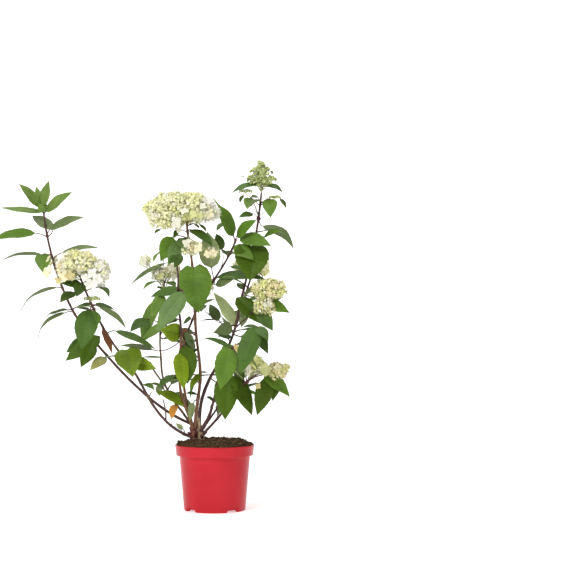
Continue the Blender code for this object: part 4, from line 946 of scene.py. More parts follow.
# clump of old cut shoots beside it, dark red
pts = [np.array([CLUMP_X + 0.0006 * math.sin(5 * q / 17), CLUMP_Y, STUB_Z0 - 0.003 + 0.0285 * q / 17]) for q in range(18)]
tab = [[srng.uniform(-1, 1) for _ in range(22)] for _ in range(18)]
tube(stub_heap, pts, [0.0088 * (1 - 0.10 * q / 17) - (0.0045 * max(0.0, q / 17 - 0.8) / 0.2) for q in range(18)], 22, "node_red",
     relief=lambda i, k: 0.0016 * smooth_noise(tab, i, k) + 0.0005 * tab[i][k] + 0.0010 * math.sin(2 * math.pi * k / 22 * 4))
for bx, az, el, zz, ln, r, coat in ((CLUMP_X, 185, 40, 0.174, 0.014, 0.0042, "node_red"), (CLUMP_X, 205, 66, 0.180, 0.017, 0.0040, "node_red"),
                                    (CLUMP_X, 120, 62, 0.178, 0.016, 0.0038, "bark"), (CLUMP_X, 262, 70, 0.178, 0.016, 0.0040, "node_red"),
                                    (CLUMP_X, 310, 50, 0.176, 0.014, 0.0040, "node_red"), (CLUMP_X, 20, 72, 0.180, 0.014, 0.0034, "bark"),
                                    (STUB_X - 0.0005, 330, 35, 0.180, 0.013, 0.0030, "bark"), (STUB_X, 262, 25, 0.173, 0.011, 0.0034, "bark"),
                                    (STUB_X, 90, 40, 0.177, 0.014, 0.0031, "bark")):
    d = np.array([math.cos(math.radians(az)) * math.cos(math.radians(el)),
                  math.sin(math.radians(az)) * math.cos(math.radians(el)), math.sin(math.radians(el))])
    p0 = np.array([bx, STUB_Y, zz]) + d * 0.004
    seg = [p0 + d * ln * j / 9 + np.array([0, 0, 0.003 * (j / 9) ** 2]) for j in range(10)]
    tab = [[srng.uniform(-1, 1) for _ in range(12)] for _ in range(10)]
    tube(stub_heap, seg, [r * (1.15 - 0.25 * j / 9 - (0.45 if j == 9 else 0.0)) for j in range(10)], 12, coat,
         relief=lambda i, k, tab=tab, r=r: 0.13 * r * tab[i][k])
stub = stub_heap.make("stub", sharp=70)

# ------------------------------------------------------------------ flower heads

HEADS = [
    # piece, limb, place on the limb, centre (picture px), depth from the limb's tip, reach left, right, front, back, down,
    # up (mm), cymes, florets per cyme, sepal flowers, mix of tints, seed
    ("left", "left", 0.97, (79, 262.5), 0, (34, 38, 40, 36, 18, 20), 44, 13, 3, "ddcclw", 1),
    ("left", "left", 0.97, (66.5, 270), -4, (13, 20, 24, 22, 20, 18), 12, 12, 0, "cwwp", 11),
    ("left", "left", 0.96, (96, 272), 4, (22, 26, 24, 26, 32, 24), 20, 11, 6, "WWWc", 12),
    ("centre", "centre", 0.98, (170, 211), 0, (42, 40, 48, 48, 39, 40), 66, 13, 2, "ccccclw", 2),
    ("centre", "centre", 0.98, (153, 208.5), 2, (20, 14, 22, 22, 13, 12), 9, 12, 0, "ccl", 23),
    ("centre", "centre", 0.98, (161, 220), -2, (20, 18, 24, 22, 17, 12), 9, 12, 0, "dccw", 24),
    ("centre", "centre", 0.98, (191, 208), -2, (46, 34, 46, 46, 29, 30), 48, 13, 1, "cccclw", 21),
    ("centre", "centre", 0.98, (206, 211), -4, (24, 25, 32, 32, 22, 18), 18, 12, 2, "cWWw", 22),
    ("left", "centre", 0.90, (191, 248), -22, (17, 19, 20, 14, 8, 8), 11, 11, 3, "ccwwp", 3),
    ("left", "centre", 0.88, (211.5, 252.8), -26, (5, 6, 8, 8, 3, 3), 4, 9, 1, "lccw", 31),
    ("left", "back_left", 0.97, (145, 261), 0, (10, 9, 11, 11, 9, 9), 4, 8, 1, "WWc", 4),
    ("left", "back_left", 0.97, (160, 274), -6, (14, 14, 14, 16, 11, 12), 7, 12, 1, "wcWl", 41),
    ("left", "back_left", 0.96, (172, 271), 2, (10, 12, 14, 14, 17, 14), 8, 12, 1, "wcp", 42),
    ("right", "low_right", 0.98, (256, 363.5), 0, (11, 12, 13, 13, 9, 12), 6, 11, 0, "llb", 5),
    ("right", "low_right", 0.98, (277, 370), -4, (17, 24, 22, 22, 11, 9), 13, 12, 0, "ddpb", 51),
    ("right", "low_right", 0.97, (251, 370), 4, (9, 9, 10, 10, 8, 9), 4, 10, 1, "wwp", 52),
    ("right", "twig_right", 0.97, (269, 290), 0, (36, 38, 38, 38, 14, 18), 38, 12, 5, "dcplbw", 6),
    ("right", "twig_right", 0.86, (264, 306), -8, (18, 20, 18, 18, 20, 16), 12, 11, 2, "cwplb", 7),
    ("back", "back_right", 0.97, None, 0, (40, 42, 38, 42, 14, 48), 38, 12, 7, "cclw", 8),
    ("back", "back_centre", 0.97, None, 0, (40, 36, 36, 40, 14, 42), 34, 12, 7, "ccwl", 9),
]
TINT = {"c": "petal_cream", "l": "petal_lime", "w": "petal_white", "p": "petal_peach", "b": "petal_bud",
        "W": "petal_pale", "d": "petal_dusk"}
STINT = {"c": "sepal_cream", "l": "sepal_lime", "w": "sepal_white", "p": "sepal_yellow", "b": "sepal_lime",
         "W": "sepal_pale", "d": "sepal_cream"}

floret_mats = [MATS[k] for k in list(FLORET) + ["eye"]]
sepal_mats = [MATS[k] for k in list(SEPAL) + ["eye"]]
floret_heaps = {k: Heap(floret_mats) for k in ("left", "centre", "right", "back")}
sepals = Heap(sepal_mats)
stalks = Heap([MATS["stalk"], MATS["petiole"]])


def frame_of(d, rng):
    d = unit(d)
    e1 = unit(np.cross(d, (0.12, 0.3, 0.94) if abs(d[2]) < 0.9 else (1, 0, 0)))
    a = rng.uniform(0, 6.28)
    e2 = np.cross(d, e1)
    return d, e1 * math.cos(a) + e2 * math.sin(a), -e1 * math.sin(a) + e2 * math.cos(a)


def tiny_floret(heap, c, d, r, rng, tint):
    """Fertile floret: five pointed petals, a green eye and three stamens."""
    d, x, y = frame_of(d, rng)
    verts, faces, mats = [], [], []
    open_ = rng.uniform(-0.15, 0.55)
    for k in range(5):
        a = 2 * math.pi * k / 5
        o = x * math.cos(a) + y * math.sin(a)
        s = -x * math.sin(a) + y * math.cos(a)
        n0 = len(verts)
        verts += [c + o * r * 0.12 - s * r * 0.14, c + o * r * 0.12 + s * r * 0.14,
                  c + o * r * 0.58 + s * r * 0.33 + d * r * open_ * 0.55,
                  c + o * r * 1.00 + d * r * open_ * 0.75,
                  c + o * r * 0.58 - s * r * 0.33 + d * r * open_ * 0.55,
                  c + o * r * 0.58 + d * r * (open_ * 0.55 - 0.14)]
        faces += [(n0, n0 + 1, n0 + 2, n0 + 5), (n0, n0 + 5, n0 + 4), (n0 + 5, n0 + 2, n0 + 3), (n0 + 5, n0 + 3, n0 + 4)]
        mats += [tint] * 4
    n0 = len(verts)
    verts += [c + (x * math.cos(a) + y * math.sin(a)) * r * 0.20 for a in (0, 1.57, 3.14, 4.71)]
    verts += [c + d * r * 0.26, c - d * r * 0.30]
    for k in range(4):
        faces += [(n0 + k, n0 + (k + 1) % 4, n0 + 4), (n0 + (k + 1) % 4, n0 + k, n0 + 5)]
        mats += ["eye"] * 2
    for k in range(3):
        a = 2 * math.pi * k / 3 + 0.4
        o = unit((x * math.cos(a) + y * math.sin(a)) * 0.55 + d)
        s = unit(np.cross(o, d + 0.1 * x))
        w = np.cross(o, s)
        n0 = len(verts)
        q = c + o * r * 0.15
        h = r * rng.uniform(0.85, 1.25)
        verts += [q + s * r * 0.05, q - s * r * 0.025 + w * r * 0.045, q - s * r * 0.025 - w * r * 0.045,
                  q + o * h * 0.9 + s * r * 0.10, q + o * h * 0.9 - s * r * 0.05 + w * r * 0.09,
                  q + o * h * 0.9 - s * r * 0.05 - w * r * 0.09, q + o * h]
        faces += [(n0, n0 + 1, n0 + 4, n0 + 3), (n0 + 1, n0 + 2, n0 + 5, n0 + 4), (n0 + 2, n0, n0 + 3, n0 + 5),
                  (n0 + 3, n0 + 4, n0 + 6), (n0 + 4, n0 + 5, n0 + 6), (n0 + 5, n0 + 3, n0 + 6), (n0 + 2, n0 + 1, n0)]
        mats += [tint] * 7
    heap.add(verts, faces, mats)


SEPAL_COLS = np.array([-1.0, -0.5, 0.0, 0.5, 1.0])


def sepal_outline(s):
    s = np.clip(s, 0.0, 1.0)
    return (np.sin(np.pi * s ** 0.85) ** 0.62) * (1.0 - 0.06 * s)


def sepal_flower(c, d, size, rng, tint, lift=0.25):
    """Showy floret: four round sepals in a flat cross."""
    d, x, y = frame_of(d, rng)
    for k in range(4):
        a = 2 * math.pi * k / 4 + rng.uniform(-0.12, 0.12)
        o = x * math.cos(a) + y * math.sin(a)
        L = size * rng.uniform(0.85, 1.1)
        tip = c + unit(o + d * rng.uniform(lift - 0.2, lift + 0.2)) * L
        base = c + o * size * 0.05 + d * (0.0006 * (k % 2))
        leaf(sepals, base, tip, d, L * rng.uniform(0.78, 0.95), rng, top=tint, low=tint, arch=rng.uniform(-0.05, 0.12),
             fold=0.10, curl=rng.uniform(-0.25, 0.15), wave=0.10, rows=PLAIN_ROWS, cols=SEPAL_COLS, relief=0.5,
             serrate=False, thick=0.00025, veined=False, outline=sepal_outline, sweep=0.08)
    n0 = [c + (x * math.cos(a) + y * math.sin(a)) * size * 0.09 for a in (0, 1.05, 2.09, 3.14, 4.19, 5.24)]
    sepals.add(n0 + [c + d * size * 0.13, c - d * size * 0.05],
               [(k, (k + 1) % 6, 6) for k in range(6)] + [((k + 1) % 6, k, 7) for k in range(6)], "eye")


def egg(u, reach):
    l, r, f, b, dn, up = (v / 1000.0 for v in reach)
    ax = r if u[0] > 0 else l
    ay = b if u[1] > 0 else f
    az = up if u[2] > 0 else dn
    q = 2.7
    return (abs(u[0] / ax) ** q + abs(u[1] / ay) ** q + abs(u[2] / az) ** q) ** (-1.0 / q)


def bead(heap, c, r, mat):
    """Unopened floret: a small eight-sided bead."""
    v = [c + np.array(q) * r for q in ((1, 0, 0), (-1, 0, 0), (0, 1, 0), (0, -1, 0), (0, 0, 1.15), (0, 0, -1.0))]
    heap.add(v, [(0, 2, 4), (2, 1, 4), (1, 3, 4), (3, 0, 4), (2, 0, 5), (1, 2, 5), (3, 1, 5), (0, 3, 5)], mat)


for piece, limb_name, t_foot, px, depth, reach, cymes, per, showy, mix, seed in HEADS:
    rng = random.Random(900 + seed)
    limb = LIMBS[limb_name]
    tip = limb.at(1.0)
    centre = at_px(px[0], px[1], tip[1] + depth / 1000.0) if px else tip + np.array([0, 0, 0.018])
    heap = floret_heaps[piece]
    # the head's own axis, from inside the limb up through the head
    foot = limb.at(t_foot)
    crown = centre + np.array([0, 0, reach[5] / 1000.0 * 0.55])
    axis = bezier(foot, 0.5 * (foot + centre), crown, 9)
    tube(stalks, axis, [0.0014 - 0.0008 * j / 8 for j in range(9)], 7, "stalk")
    golden = math.pi * (3 - math.sqrt(5))
    for j in range(cymes):
        z = 1.0 - (1.0 + 0.78) * (j + 0.5) / cymes
        rr = math.sqrt(max(0.0, 1 - z * z))
        u = unit((rr * math.cos(golden * j + seed), rr * math.sin(golden * j + seed), z))
        u = unit(u + np.array([rng.uniform(-0.14, 0.14), rng.uniform(-0.14, 0.14), rng.uniform(-0.10, 0.10)]))
        R = egg(u, reach)
        depth_in = rng.uniform(0.78, 1.05)
        c = centre + u * R * depth_in
        # branch from the axis to the cyme
        k = min(8, max(1, int(4 + 4 * u[2])))
        start = axis[k]
        ctrl = start + (c - start) * 0.55 + np.array([0, 0, -0.004])
        tube(stalks, bezier(start, ctrl, c - unit(c - start) * 0.004, 5), [0.0007, 0.0006, 0.00055, 0.0005, 0.0004], 5, "stalk")
        tint = TINT[rng.choice(mix)]
        spread = rng.uniform(0.0080, 0.0115)
        d0, x0, y0 = frame_of(u, random.Random(j * 31 + seed))
        for q in range(per):
            zz = 1 - 1.25 * (q + 0.5) / per
            r2 = math.sqrt(max(0.0, 1 - zz * zz))
            dd = unit(d0 * zz + x0 * r2 * math.cos(golden * q) + y0 * r2 * math.sin(golden * q)
                      + np.array([rng.uniform(-0.2, 0.2) for _ in range(3)]))
            p = c + dd * spread * rng.uniform(0.72, 1.08)
            tiny_floret(heap, p, dd, rng.uniform(0.0036, 0.0052), rng, tint if rng.random() < 0.75 else TINT[rng.choice(mix)])
            if q % 2 == 0:
                tube(stalks, [c - d0 * 0.003, p - dd * 0.0006], [0.00035, 0.00028], 4, "stalk", caps=False)
        for q in range(10):
            dd = unit([rng.gauss(0, 1) for _ in range(3)])
            bead(heap, c + (dd + 0.15 * u) * spread * rng.uniform(0.25, 0.80), rng.uniform(0.0010, 0.0017),
                 "petal_bud" if rng.random() < 0.6 else tint)
    # single florets that close the gaps between the cymes
    fill = int(cymes * per * 0.30)
    for j in range(fill):
        z = 1.0 - 1.72 * (j + 0.5) / fill
        rr = math.sqrt(max(0.0, 1 - z * z))
        u = unit((rr * math.cos(golden * j + 1.7 * seed), rr * math.sin(golden * j + 1.7 * seed), z))
        u = unit(u + np.array([rng.uniform(-0.10, 0.10) for _ in range(3)]))
        c = centre + u * (egg(u, reach) * rng.uniform(0.74, 1.01) + rng.uniform(0.0, 0.006))
        dd = unit(u + np.array([rng.uniform(-0.5, 0.5) for _ in range(3)]))
        tiny_floret(heap, c, dd, rng.uniform(0.0040, 0.0060), rng, TINT[rng.choice(mix)])
        tube(stalks, [centre + (c - centre) * 0.55, c - dd * 0.0006], [0.0005, 0.0003], 4, "stalk", caps=False)
    # buds close under the skin, so that no dark gaps show
    for j in range(int(cymes * 12)):
        u = unit([rng.gauss(0, 1), rng.gauss(0, 1), rng.gauss(0.15, 0.9)])
        bead(heap, centre + u * egg(u, reach) * rng.uniform(0.66, 0.88), rng.uniform(0.0018, 0.0030), TINT[rng.choice(mix)])
    # a looser inner layer, so that the head is not hollow
    for j in range(cymes // 2):
        u = unit([rng.gauss(0, 1), rng.gauss(0, 1), rng.gauss(0.2, 0.8)])
        c = centre + u * egg(u, reach) * rng.uniform(0.30, 0.62)
        for q in range(9):
            dd = unit([rng.gauss(0, 1) for _ in range(3)])
            bead(heap, c + dd * rng.uniform(0.002, 0.009), rng.uniform(0.0012, 0.0020),
                 "petal_bud" if rng.random() < 0.5 else TINT[rng.choice(mix)])
        tube(stalks, [centre, c], [0.0006, 0.0004], 4, "stalk", caps=False)
    for j in range(showy):
        z = rng.uniform(-0.35, 0.75)
        a = golden * j * 1.3 + seed * 2.1 + rng.uniform(-0.3, 0.3)
        u = unit((math.cos(a), math.sin(a), z))
        R = egg(u, reach)
        c = centre + u * (R * rng.uniform(0.92, 1.02) + 0.004)
        tube(stalks, bezier(axis[4], 0.5 * (axis[4] + c) + np.array([0, 0, -0.003]), c - u * 0.0005, 5),
             [0.0006, 0.0005, 0.00045, 0.0004, 0.0004], 5, "stalk")
        t = rng.choice(mix)
        sepal_flower(c, u, rng.uniform(0.0090, 0.0125), rng, STINT["w" if t == "l" and rng.random() < 0.7 else t])

# the showy florets that stand out one by one
SHOWY = [
    # limb, place (px), depth (mm) from the limb, size, tint, facing (x, y, z)
    ("left", (65.5, 264.5), -28, 0.012, "w", (-0.3, -1.0, 0.2)),
    ("left", (64.5, 276), -32, 0.017, "c", (-0.1, -1.0, -0.2)),
    ("left", (70, 275), -36, 0.015, "p", (0.2, -1.0, -0.3)),
    ("left", (59, 280.5), -22, 0.013, "p", (-0.3, -1.0, -0.5)),
    ("left", (47, 272.5), 4, 0.014, "c", (-0.5, -1.0, -0.2)),
    ("left", (48.5, 259), 4, 0.011, "c", (-0.8, -0.6, 0.3)),
    ("left", (99, 266), -20, 0.016, "W", (0.6, -0.9, 0.3)),
    ("left", (104, 275), -8, 0.016, "W", (0.8, -0.7, -0.1)),
    ("left", (91, 283), -24, 0.017, "W", (0.2, -1.0, -0.4)),
    ("left", (92, 273), -30, 0.016, "W", (0.2, -1.0, 0.1)),
    ("left", (97, 279), -26, 0.015, "W", (0.4, -1.0, -0.2)),
    ("left", (101, 285), -14, 0.013, "W", (0.5, -0.9, -0.5)),
    ("left", (86, 277), -28, 0.013, "W", (-0.1, -1.0, -0.2)),
    ("left", (107.5, 269), -2, 0.012, "W", (0.9, -0.5, 0.2)),
    ("far_left", (55.5, 260), 6, 0.013, "w", (-0.3, -1.0, 0.3)),
    ("far_left", (57, 267), 8, 0.013, "W", (-0.1, -1.0, 0.2)),
    ("far_left", (60, 273), 6, 0.012, "w", (0.1, -1.0, -0.1)),
    ("far_left", (51, 263), 6, 0.010, "c", (-0.5, -1.0, 0.1)),
    ("left", (50, 269), -4, 0.012, "w", (-0.4, -1.0, 0.1)),
    ("centre", (176, 222), -60, 0.018, "w", (-0.1, -1.0, -0.3)),
    ("centre", (184, 211), -58, 0.013, "w", (-0.2, -1.0, 0.7)),
    ("centre", (203, 206), -50, 0.012, "w", (0.3, -1.0, 0.9)),
    ("centre", (207, 201), -34, 0.017, "W", (0.6, -0.9, 0.4)),
    ("centre", (213, 206), -20, 0.015, "W", (0.8, -0.7, 0.3)),
    ("centre", (209, 214), -40, 0.014, "c", (0.5, -0.9, -0.1)),
    ("centre", (193.5, 214.5), -58, 0.013, "l", (-0.3, -1.0, 0.3)),
    ("centre", (199, 215.5), -54, 0.012, "l", (0.3, -1.0, 0.1)),
    ("centre", (150.5, 220), -20, 0.013, "c", (-0.8, -0.6, -0.3)),
    ("centre", (179, 229.5), -20, 0.012, "w", (-0.2, -0.9, -0.3)),
    ("centre", (198, 248), -44, 0.015, "c", (0.0, -1.0, 0.1)),
    ("centre", (187, 244), -40, 0.014, "w", (-0.3, -1.0, 0.2)),
    ("centre", (213.5, 253), -42, 0.013, "c", (0.3, -1.0, 0.1)),
    ("centre", (207, 254), -42, 0.011, "c", (-0.1, -1.0, -0.1)),
    ("low_right", (265.5, 369), -32, 0.019, "l", (0.0, -1.0, 0.0)),
    ("low_right", (249, 369), -12, 0.011, "w", (-0.5, -1.0, 0.2)),
    ("low_right", (258, 386), -14, 0.010, "p", (-0.1, -1.0, -0.3)),
    ("low_right", (277, 367.5), -30, 0.012, "c", (0.3, -1.0, 0.1)),
    ("back_left", (143, 262), -18, 0.014, "w", (-0.4, -1.0, 0.1)),
    ("back_left", (160, 276), -24, 0.012, "l", (0.0, -1.0, -0.2)),
    ("back_left", (172, 268), -22, 0.012, "w", (0.3, -1.0, 0.2)),
    ("back_left", (174, 277), -20, 0.011, "w", (0.3, -1.0, -0.3)),
]
srg = random.Random(64)
for limb_name, px, depth, size, tint, face in SHOWY:
    limb = LIMBS[limb_name]
    tip = limb.at(1.0)
    c = at_px(px[0], px[1], tip[1] + depth / 1000.0)
    d = unit(face)
    near = limb.at(limb.t_seen_at(*px))
    tube(stalks, bezier(near, 0.5 * (near + c) - d * 0.006, c - d * 0.0004, 6),
         [0.0008, 0.0007, 0.0006, 0.0005, 0.00045, 0.0004], 5, "stalk")
    sepal_flower(c, d, size * 0.92, srg, STINT[tint], lift=0.18)

# bud head on the tall shoot: tiers of round buds on a short cone
buds = Heap([MATS["bud"], MATS["bud_dark"], MATS["stalk"]])
brg = random.Random(31)


def ball(heap, c, r, mat, squash=1.0):
    golden_ = (1 + 5 ** 0.5) / 2
    vs = []
    for a in (-1, 1):
        for b in (-golden_, golden_):
            vs += [(0, a, b), (a, b, 0), (b, 0, a)]
    vs = np.array(vs, float)
    vs = vs / np.linalg.norm(vs[0])
    faces = []
    d = ((vs[:, None] - vs[None]) ** 2).sum(-1)
    edge = sorted(set(np.round(d[d > 1e-6], 4)))[0]
    for i in range(12):
        for j in range(i + 1, 12):
            for k in range(j + 1, 12):
                if abs(d[i, j] - edge) < 1e-3 and abs(d[j, k] - edge) < 1e-3 and abs(d[i, k] - edge) < 1e-3:
                    n = np.cross(vs[j] - vs[i], vs[k] - vs[i])
                    faces.append((i, j, k) if n.dot(vs[i]) > 0 else (i, k, j))
    ball.cache = (vs, faces)
    heap.add(vs * (r, r, r * squash) + c, faces, mat)


_bv, _bf = None, None


def bud(heap, c, r, mat, squash=1.0):
    global _bv, _bf
    if _bv is None:
        tmp = Heap([MATS["bud"]])
        ball(tmp, np.zeros(3), 1.0, "bud")
        _bv, _bf = ball.cache
    heap.add(_bv * (r, r, r * squash) + c, _bf, mat)


def bud_cluster(c, d, radius, n, rng, dark=0.25):
    d, x, y = frame_of(d, rng)
    g = math.pi * (3 - math.sqrt(5))
    for q in range(n):
        z = 1 - 1.25 * (q + 0.5) / n
        r2 = math.sqrt(max(0.0, 1 - z * z))
        dd = d * z + x * r2 * math.cos(g * q) + y * r2 * math.sin(g * q)
        p = c + dd * radius * rng.uniform(0.8, 1.1)
        bud(buds, p, rng.uniform(0.0011, 0.0017), "bud_dark" if rng.random() < dark else "bud", 1.15)
        if q % 2 == 0:
            tube(buds, [c - d * radius * 0.3, p], [0.0004, 0.0003], 4, "stalk", caps=False)


tall_tip = LIMBS["tall_right"].at(1.0)
foot = LIMBS["tall_right"].at(0.985)
top = at_px(261, 165.5, tall_tip[1])
spine = [foot + (top - foot) * j / 9 for j in range(10)]
tube(buds, spine, [0.0017 - 0.0010 * j / 9 for j in range(10)], 7, "stalk")
BUD_LOBES = [
    # place (px), radius (mm), share of dark buds
    (260.5, 164.6, 7.0, 0.08), (258.8, 166.6, 4.8, 0.15), (262.6, 163.4, 4.6, 0.10), (260.8, 167.4, 4.2, 0.55),
    (254.2, 170.0, 6.0, 0.12), (251.2, 171.6, 3.8, 0.75), (258.6, 170.6, 6.2, 0.20), (256.0, 172.2, 3.6, 0.85),
    (262.2, 172.2, 6.0, 0.15), (267.4, 168.8, 5.0, 0.45), (266.4, 170.4, 3.2, 0.80), (267.4, 173.8, 3.8, 0.40),
    (261.2, 175.4, 5.4, 0.20), (249.6, 177.9, 5.8, 0.15), (253.0, 179.2, 5.8, 0.30), (257.2, 178.0, 6.2, 0.80),
    (262.0, 179.0, 6.0, 0.40), (266.6, 179.6, 6.2, 0.12), (270.6, 179.4, 6.2, 0.10), (274.4, 179.6, 5.2, 0.30),
    (248.4, 180.8, 3.2, 0.85), (273.2, 177.9, 4.0, 0.25), (255.2, 182.4, 5.4, 0.20), (260.4, 183.0, 6.0, 0.35),
    (266.4, 183.2, 5.6, 0.12), (270.2, 183.6, 4.6, 0.45), (258.2, 185.4, 4.4, 0.65), (266.0, 185.6, 4.0, 0.65),
    (254.8, 174.6, 4.6, 0.20), (263.8, 175.6, 4.6, 0.20), (251.6, 183.2, 3.8, 0.45), (263.2, 169.6, 4.6, 0.15),
    (257.0, 168.2, 4.2, 0.25), (264.2, 182.0, 4.4, 0.25), (258.6, 180.6, 4.8, 0.35), (270.0, 176.6, 3.4, 0.30),
    (243.2, 176.6, 1.8, 0.80),
]
for j, (px, py, r, dark) in enumerate(BUD_LOBES):
    r = r / 1000.0
    off = px - 261
    deep = 0.021 * math.sqrt(max(0.05, 1 - (off / 15.0) ** 2)) * min(1.0, (py - 160.0) / 16.0)
    for side in ((-1, 1) if px > 245 else (-1,)):
        y = tall_tip[1] + side * deep * brg.uniform(0.35, 0.9)
        c = at_px(px, py, y) if side < 0 else at_px(261 - off * brg.uniform(0.8, 1.1), py + brg.uniform(-1.2, 1.2), y)
        start = spine[min(9, max(1, int(9 * (186.5 - py) / 21.0)))]
        tube(buds, bezier(start, 0.5 * (start + c) - np.array([0, 0, 0.002]), c, 4), [0.0008, 0.0006, 0.0005, 0.0004], 5, "stalk")
        bud_cluster(c, unit(c - start + np.array([0, 0, 0.012])), r, max(6, int(r * 1000 * 6.0)), brg, dark * 0.8)
# two small side heads on long stalks, and a flat green head lower down
for limb_name, node, via, px, depth, size, nb in (
        ("tall_right", (258.5, 217), (251.6, 204.5), (245.5, 191.6), -6, 0.0125, 54),
        ("tall_right", (258.5, 217), (266.8, 209), (274.8, 197.6), -6, 0.0112, 46),
        ("left", (91, 301), (91.5, 300.5), (92, 299.3), -16, 0.0150, 60)):
    limb = LIMBS[limb_name]
    root = limb.at(limb.t_seen_at(*node))
    c = at_px(px[0], px[1], root[1] + depth / 1000.0)
    mid = at_px(via[0], via[1], root[1] + 0.5 * depth / 1000.0)
    tube(buds, bezier(root, 2 * mid - 0.5 * (root + c), c - np.array([0, 0, 0.003]), 12),
         [0.0010 - 0.0004 * j / 11 for j in range(12)], 6, "stalk")
    for k in range(6):
        a = 2 * math.pi * k / 6
        cc = c + np.array([math.cos(a) * size * 0.95, math.sin(a) * size * 0.8, 0.0006 * (k % 3)])
        tube(buds, [c - np.array([0, 0, 0.003]), cc], [0.0006, 0.0004], 5, "stalk")
        bud_cluster(cc, (math.cos(a) * 0.5, math.sin(a) * 0.5, 1), size * 0.38, nb // 6 + 3, brg, 0.25)
    bud_cluster(c, (0, 0, 1), size * 0.42, nb // 4, brg, 0.15)

florets_left = floret_heaps["left"].make("florets_left", smooth=False)
florets_right = floret_heaps["right"].make("florets_right", smooth=False)
florets_centre = floret_heaps["centre"].make("florets_centre", smooth=False)
florets_back = floret_heaps["back"].make("florets_back", smooth=False)
sepal_ob = sepals.make("sepals", sharp=80)
stalk_ob = stalks.make("flower_stalks", sharp=60)
bud_ob = buds.make("flower_buds", sharp=80)

leaf_obs = {k: h.make("leaves_" + k, sharp=80) for k, h in leaf_heaps.items()}
twig_ob = twigs.make("leaf_stalks", sharp=60)


# ------------------------------------------------------------------ soil

def soil_height(x, y, tab):
    r = math.hypot(x, y)
    edge = 0.1550
    dome = 0.0150 * max(0.0, 1 - (r / 0.0940) ** 5.0)
    h = edge + dome
    for fx, fy, ph, amp in tab:
        h += amp * math.sin(x * fx + y * fy + ph)
    return h


rg = random.Random(3)
waves = [(rg.uniform(-260, 260), rg.uniform(-260, 260), rg.uniform(0, 6.28), rg.uniform(0.0003, 0.0009)) for _ in range(14)]
waves += [(rg.uniform(-900, 900), rg.uniform(-900, 900), rg.uniform(0, 6.28), rg.uniform(0.0001, 0.00035)) for _ in range(18)]
soil_heap = Heap([MATS["soil"]])
nr, na = 64, 150
verts = [(0.0, 0.0, soil_height(0, 0, waves))]
R_SOIL = RIM_R - WALL - 0.0016
for i in range(1, nr + 1):
    r = R_SOIL * (i / nr)
    for k in range(na):
        a = 2 * math.pi * k / na
        x, y = r * math.cos(a), r * math.sin(a)
        h = soil_height(x, y, waves) + rg.uniform(-0.0006, 0.0006)
        verts.append((x, y, h))
faces = [(0, 1 + k, 1 + (k + 1) % na) for k in range(na)]
for i in range(nr - 1):
    for k in range(na):
        a0, a1 = 1 + i * na + k, 1 + i * na + (k + 1) % na
        faces.append((a0, a0 + na, a1 + na, a1))
# skirt down inside the pot, closed below
n0 = len(verts)
for z, r in ((0.140, 0.0895), (0.134, 0.0820), (0.0125, 0.0700)):
    for k in range(na):
        a = 2 * math.pi * k / na
        verts.append((r * math.cos(a), r * math.sin(a), z))
ring = [1 + (nr - 1) * na + k for k in range(na)]
prev = ring
for j in range(3):
    cur = [n0 + j * na + k for k in range(na)]
    for k in range(na):
        faces.append((prev[k], cur[k], cur[(k + 1) % na], prev[(k + 1) % na]))
    prev = cur
faces.append(tuple(reversed(prev)))
soil_heap.add(verts, faces, "soil")
soil_ob = soil_heap.make("soil_surface", sharp=50)

crumbs = Heap([MATS["crumb"], MATS["fibre"]])
tmpv, tmpf = None, None
bud(Heap([MATS["bud"]]), np.zeros(3), 1.0, "bud")
for j in range(1700):
    a = rg.uniform(0, 6.283)
    r = math.sqrt(rg.random()) * (R_SOIL - 0.002)
    x, y = r * math.cos(a), r * math.sin(a)
    if min((x - STUB_X) ** 2 + (y - STUB_Y) ** 2, (x - CLUMP_X) ** 2 + (y - CLUMP_Y) ** 2) < 0.009 ** 2:
        continue
    size = rg.uniform(0.0008, 0.0022) * (1.5 if rg.random() < 0.10 else 1.0)
    if j < 90:
        size = rg.uniform(0.0026, 0.0042)
    z = soil_height(x, y, waves) + size * 0.25
    jit = np.array([[rg.uniform(0.6, 1.35)] for _ in range(12)])
    v = _bv * jit * (size * rg.uniform(0.7, 1.4), size * rg.uniform(0.7, 1.4), size * rg.uniform(0.5, 1.0))
    crumbs.add(v + (x, y, z), _bf, "crumb")
# clods at the left edge and the lumps that show there
for px, py, size in ((176.6, 440.4, 0.0048), (178.6, 438.6, 0.0050), (181.0, 438.2, 0.0044), (184.0, 436.8, 0.0040),
                     (177.4, 442.4, 0.0040), (212.8, 436.2, 0.0046), (230.5, 437.6, 0.0044), (222.0, 435.6, 0.0036),
                     (240.0, 440.6, 0.0038), (194.0, 434.8, 0.0036), (206.5, 434.6, 0.0036)):
    c = at_px(px, py, rg.uniform(-0.020, 0.010))
    lim = math.hypot(c[0], c[1])
    if lim > R_SOIL - size:
        c[:2] *= (R_SOIL - size) / lim
    c[2] = soil_height(c[0], c[1], waves) + size * 0.35
    jit = np.array([[rg.uniform(0.65, 1.25)] for _ in range(12)])
    crumbs.add(_bv * jit * (size * rg.uniform(0.8, 1.3), size * rg.uniform(0.8, 1.3), size * rg.uniform(0.6, 0.9)) + c, _bf, "crumb")
for j in range(150):
    a = rg.uniform(0, 6.283)
    r = math.sqrt(rg.random()) * (R_SOIL - 0.010)
    x, y = r * math.cos(a), r * math.sin(a)
    z = soil_height(x, y, waves) + 0.0012
    b = rg.uniform(0, 6.283)
    ln = rg.uniform(0.004, 0.012)
    d = np.array([math.cos(b), math.sin(b), rg.uniform(-0.05, 0.35)]) * ln
    p = np.array([x, y, z])
    tube(crumbs, bezier(p, p + d * 0.5 + np.array([0, 0, rg.uniform(0, 0.002)]), p + d, 5),
         [rg.uniform(0.00025, 0.0006)] * 5, 5, "fibre")
crumb_ob = crumbs.make("soil_crumbs", smooth=False)

# ------------------------------------------------------------------ pot

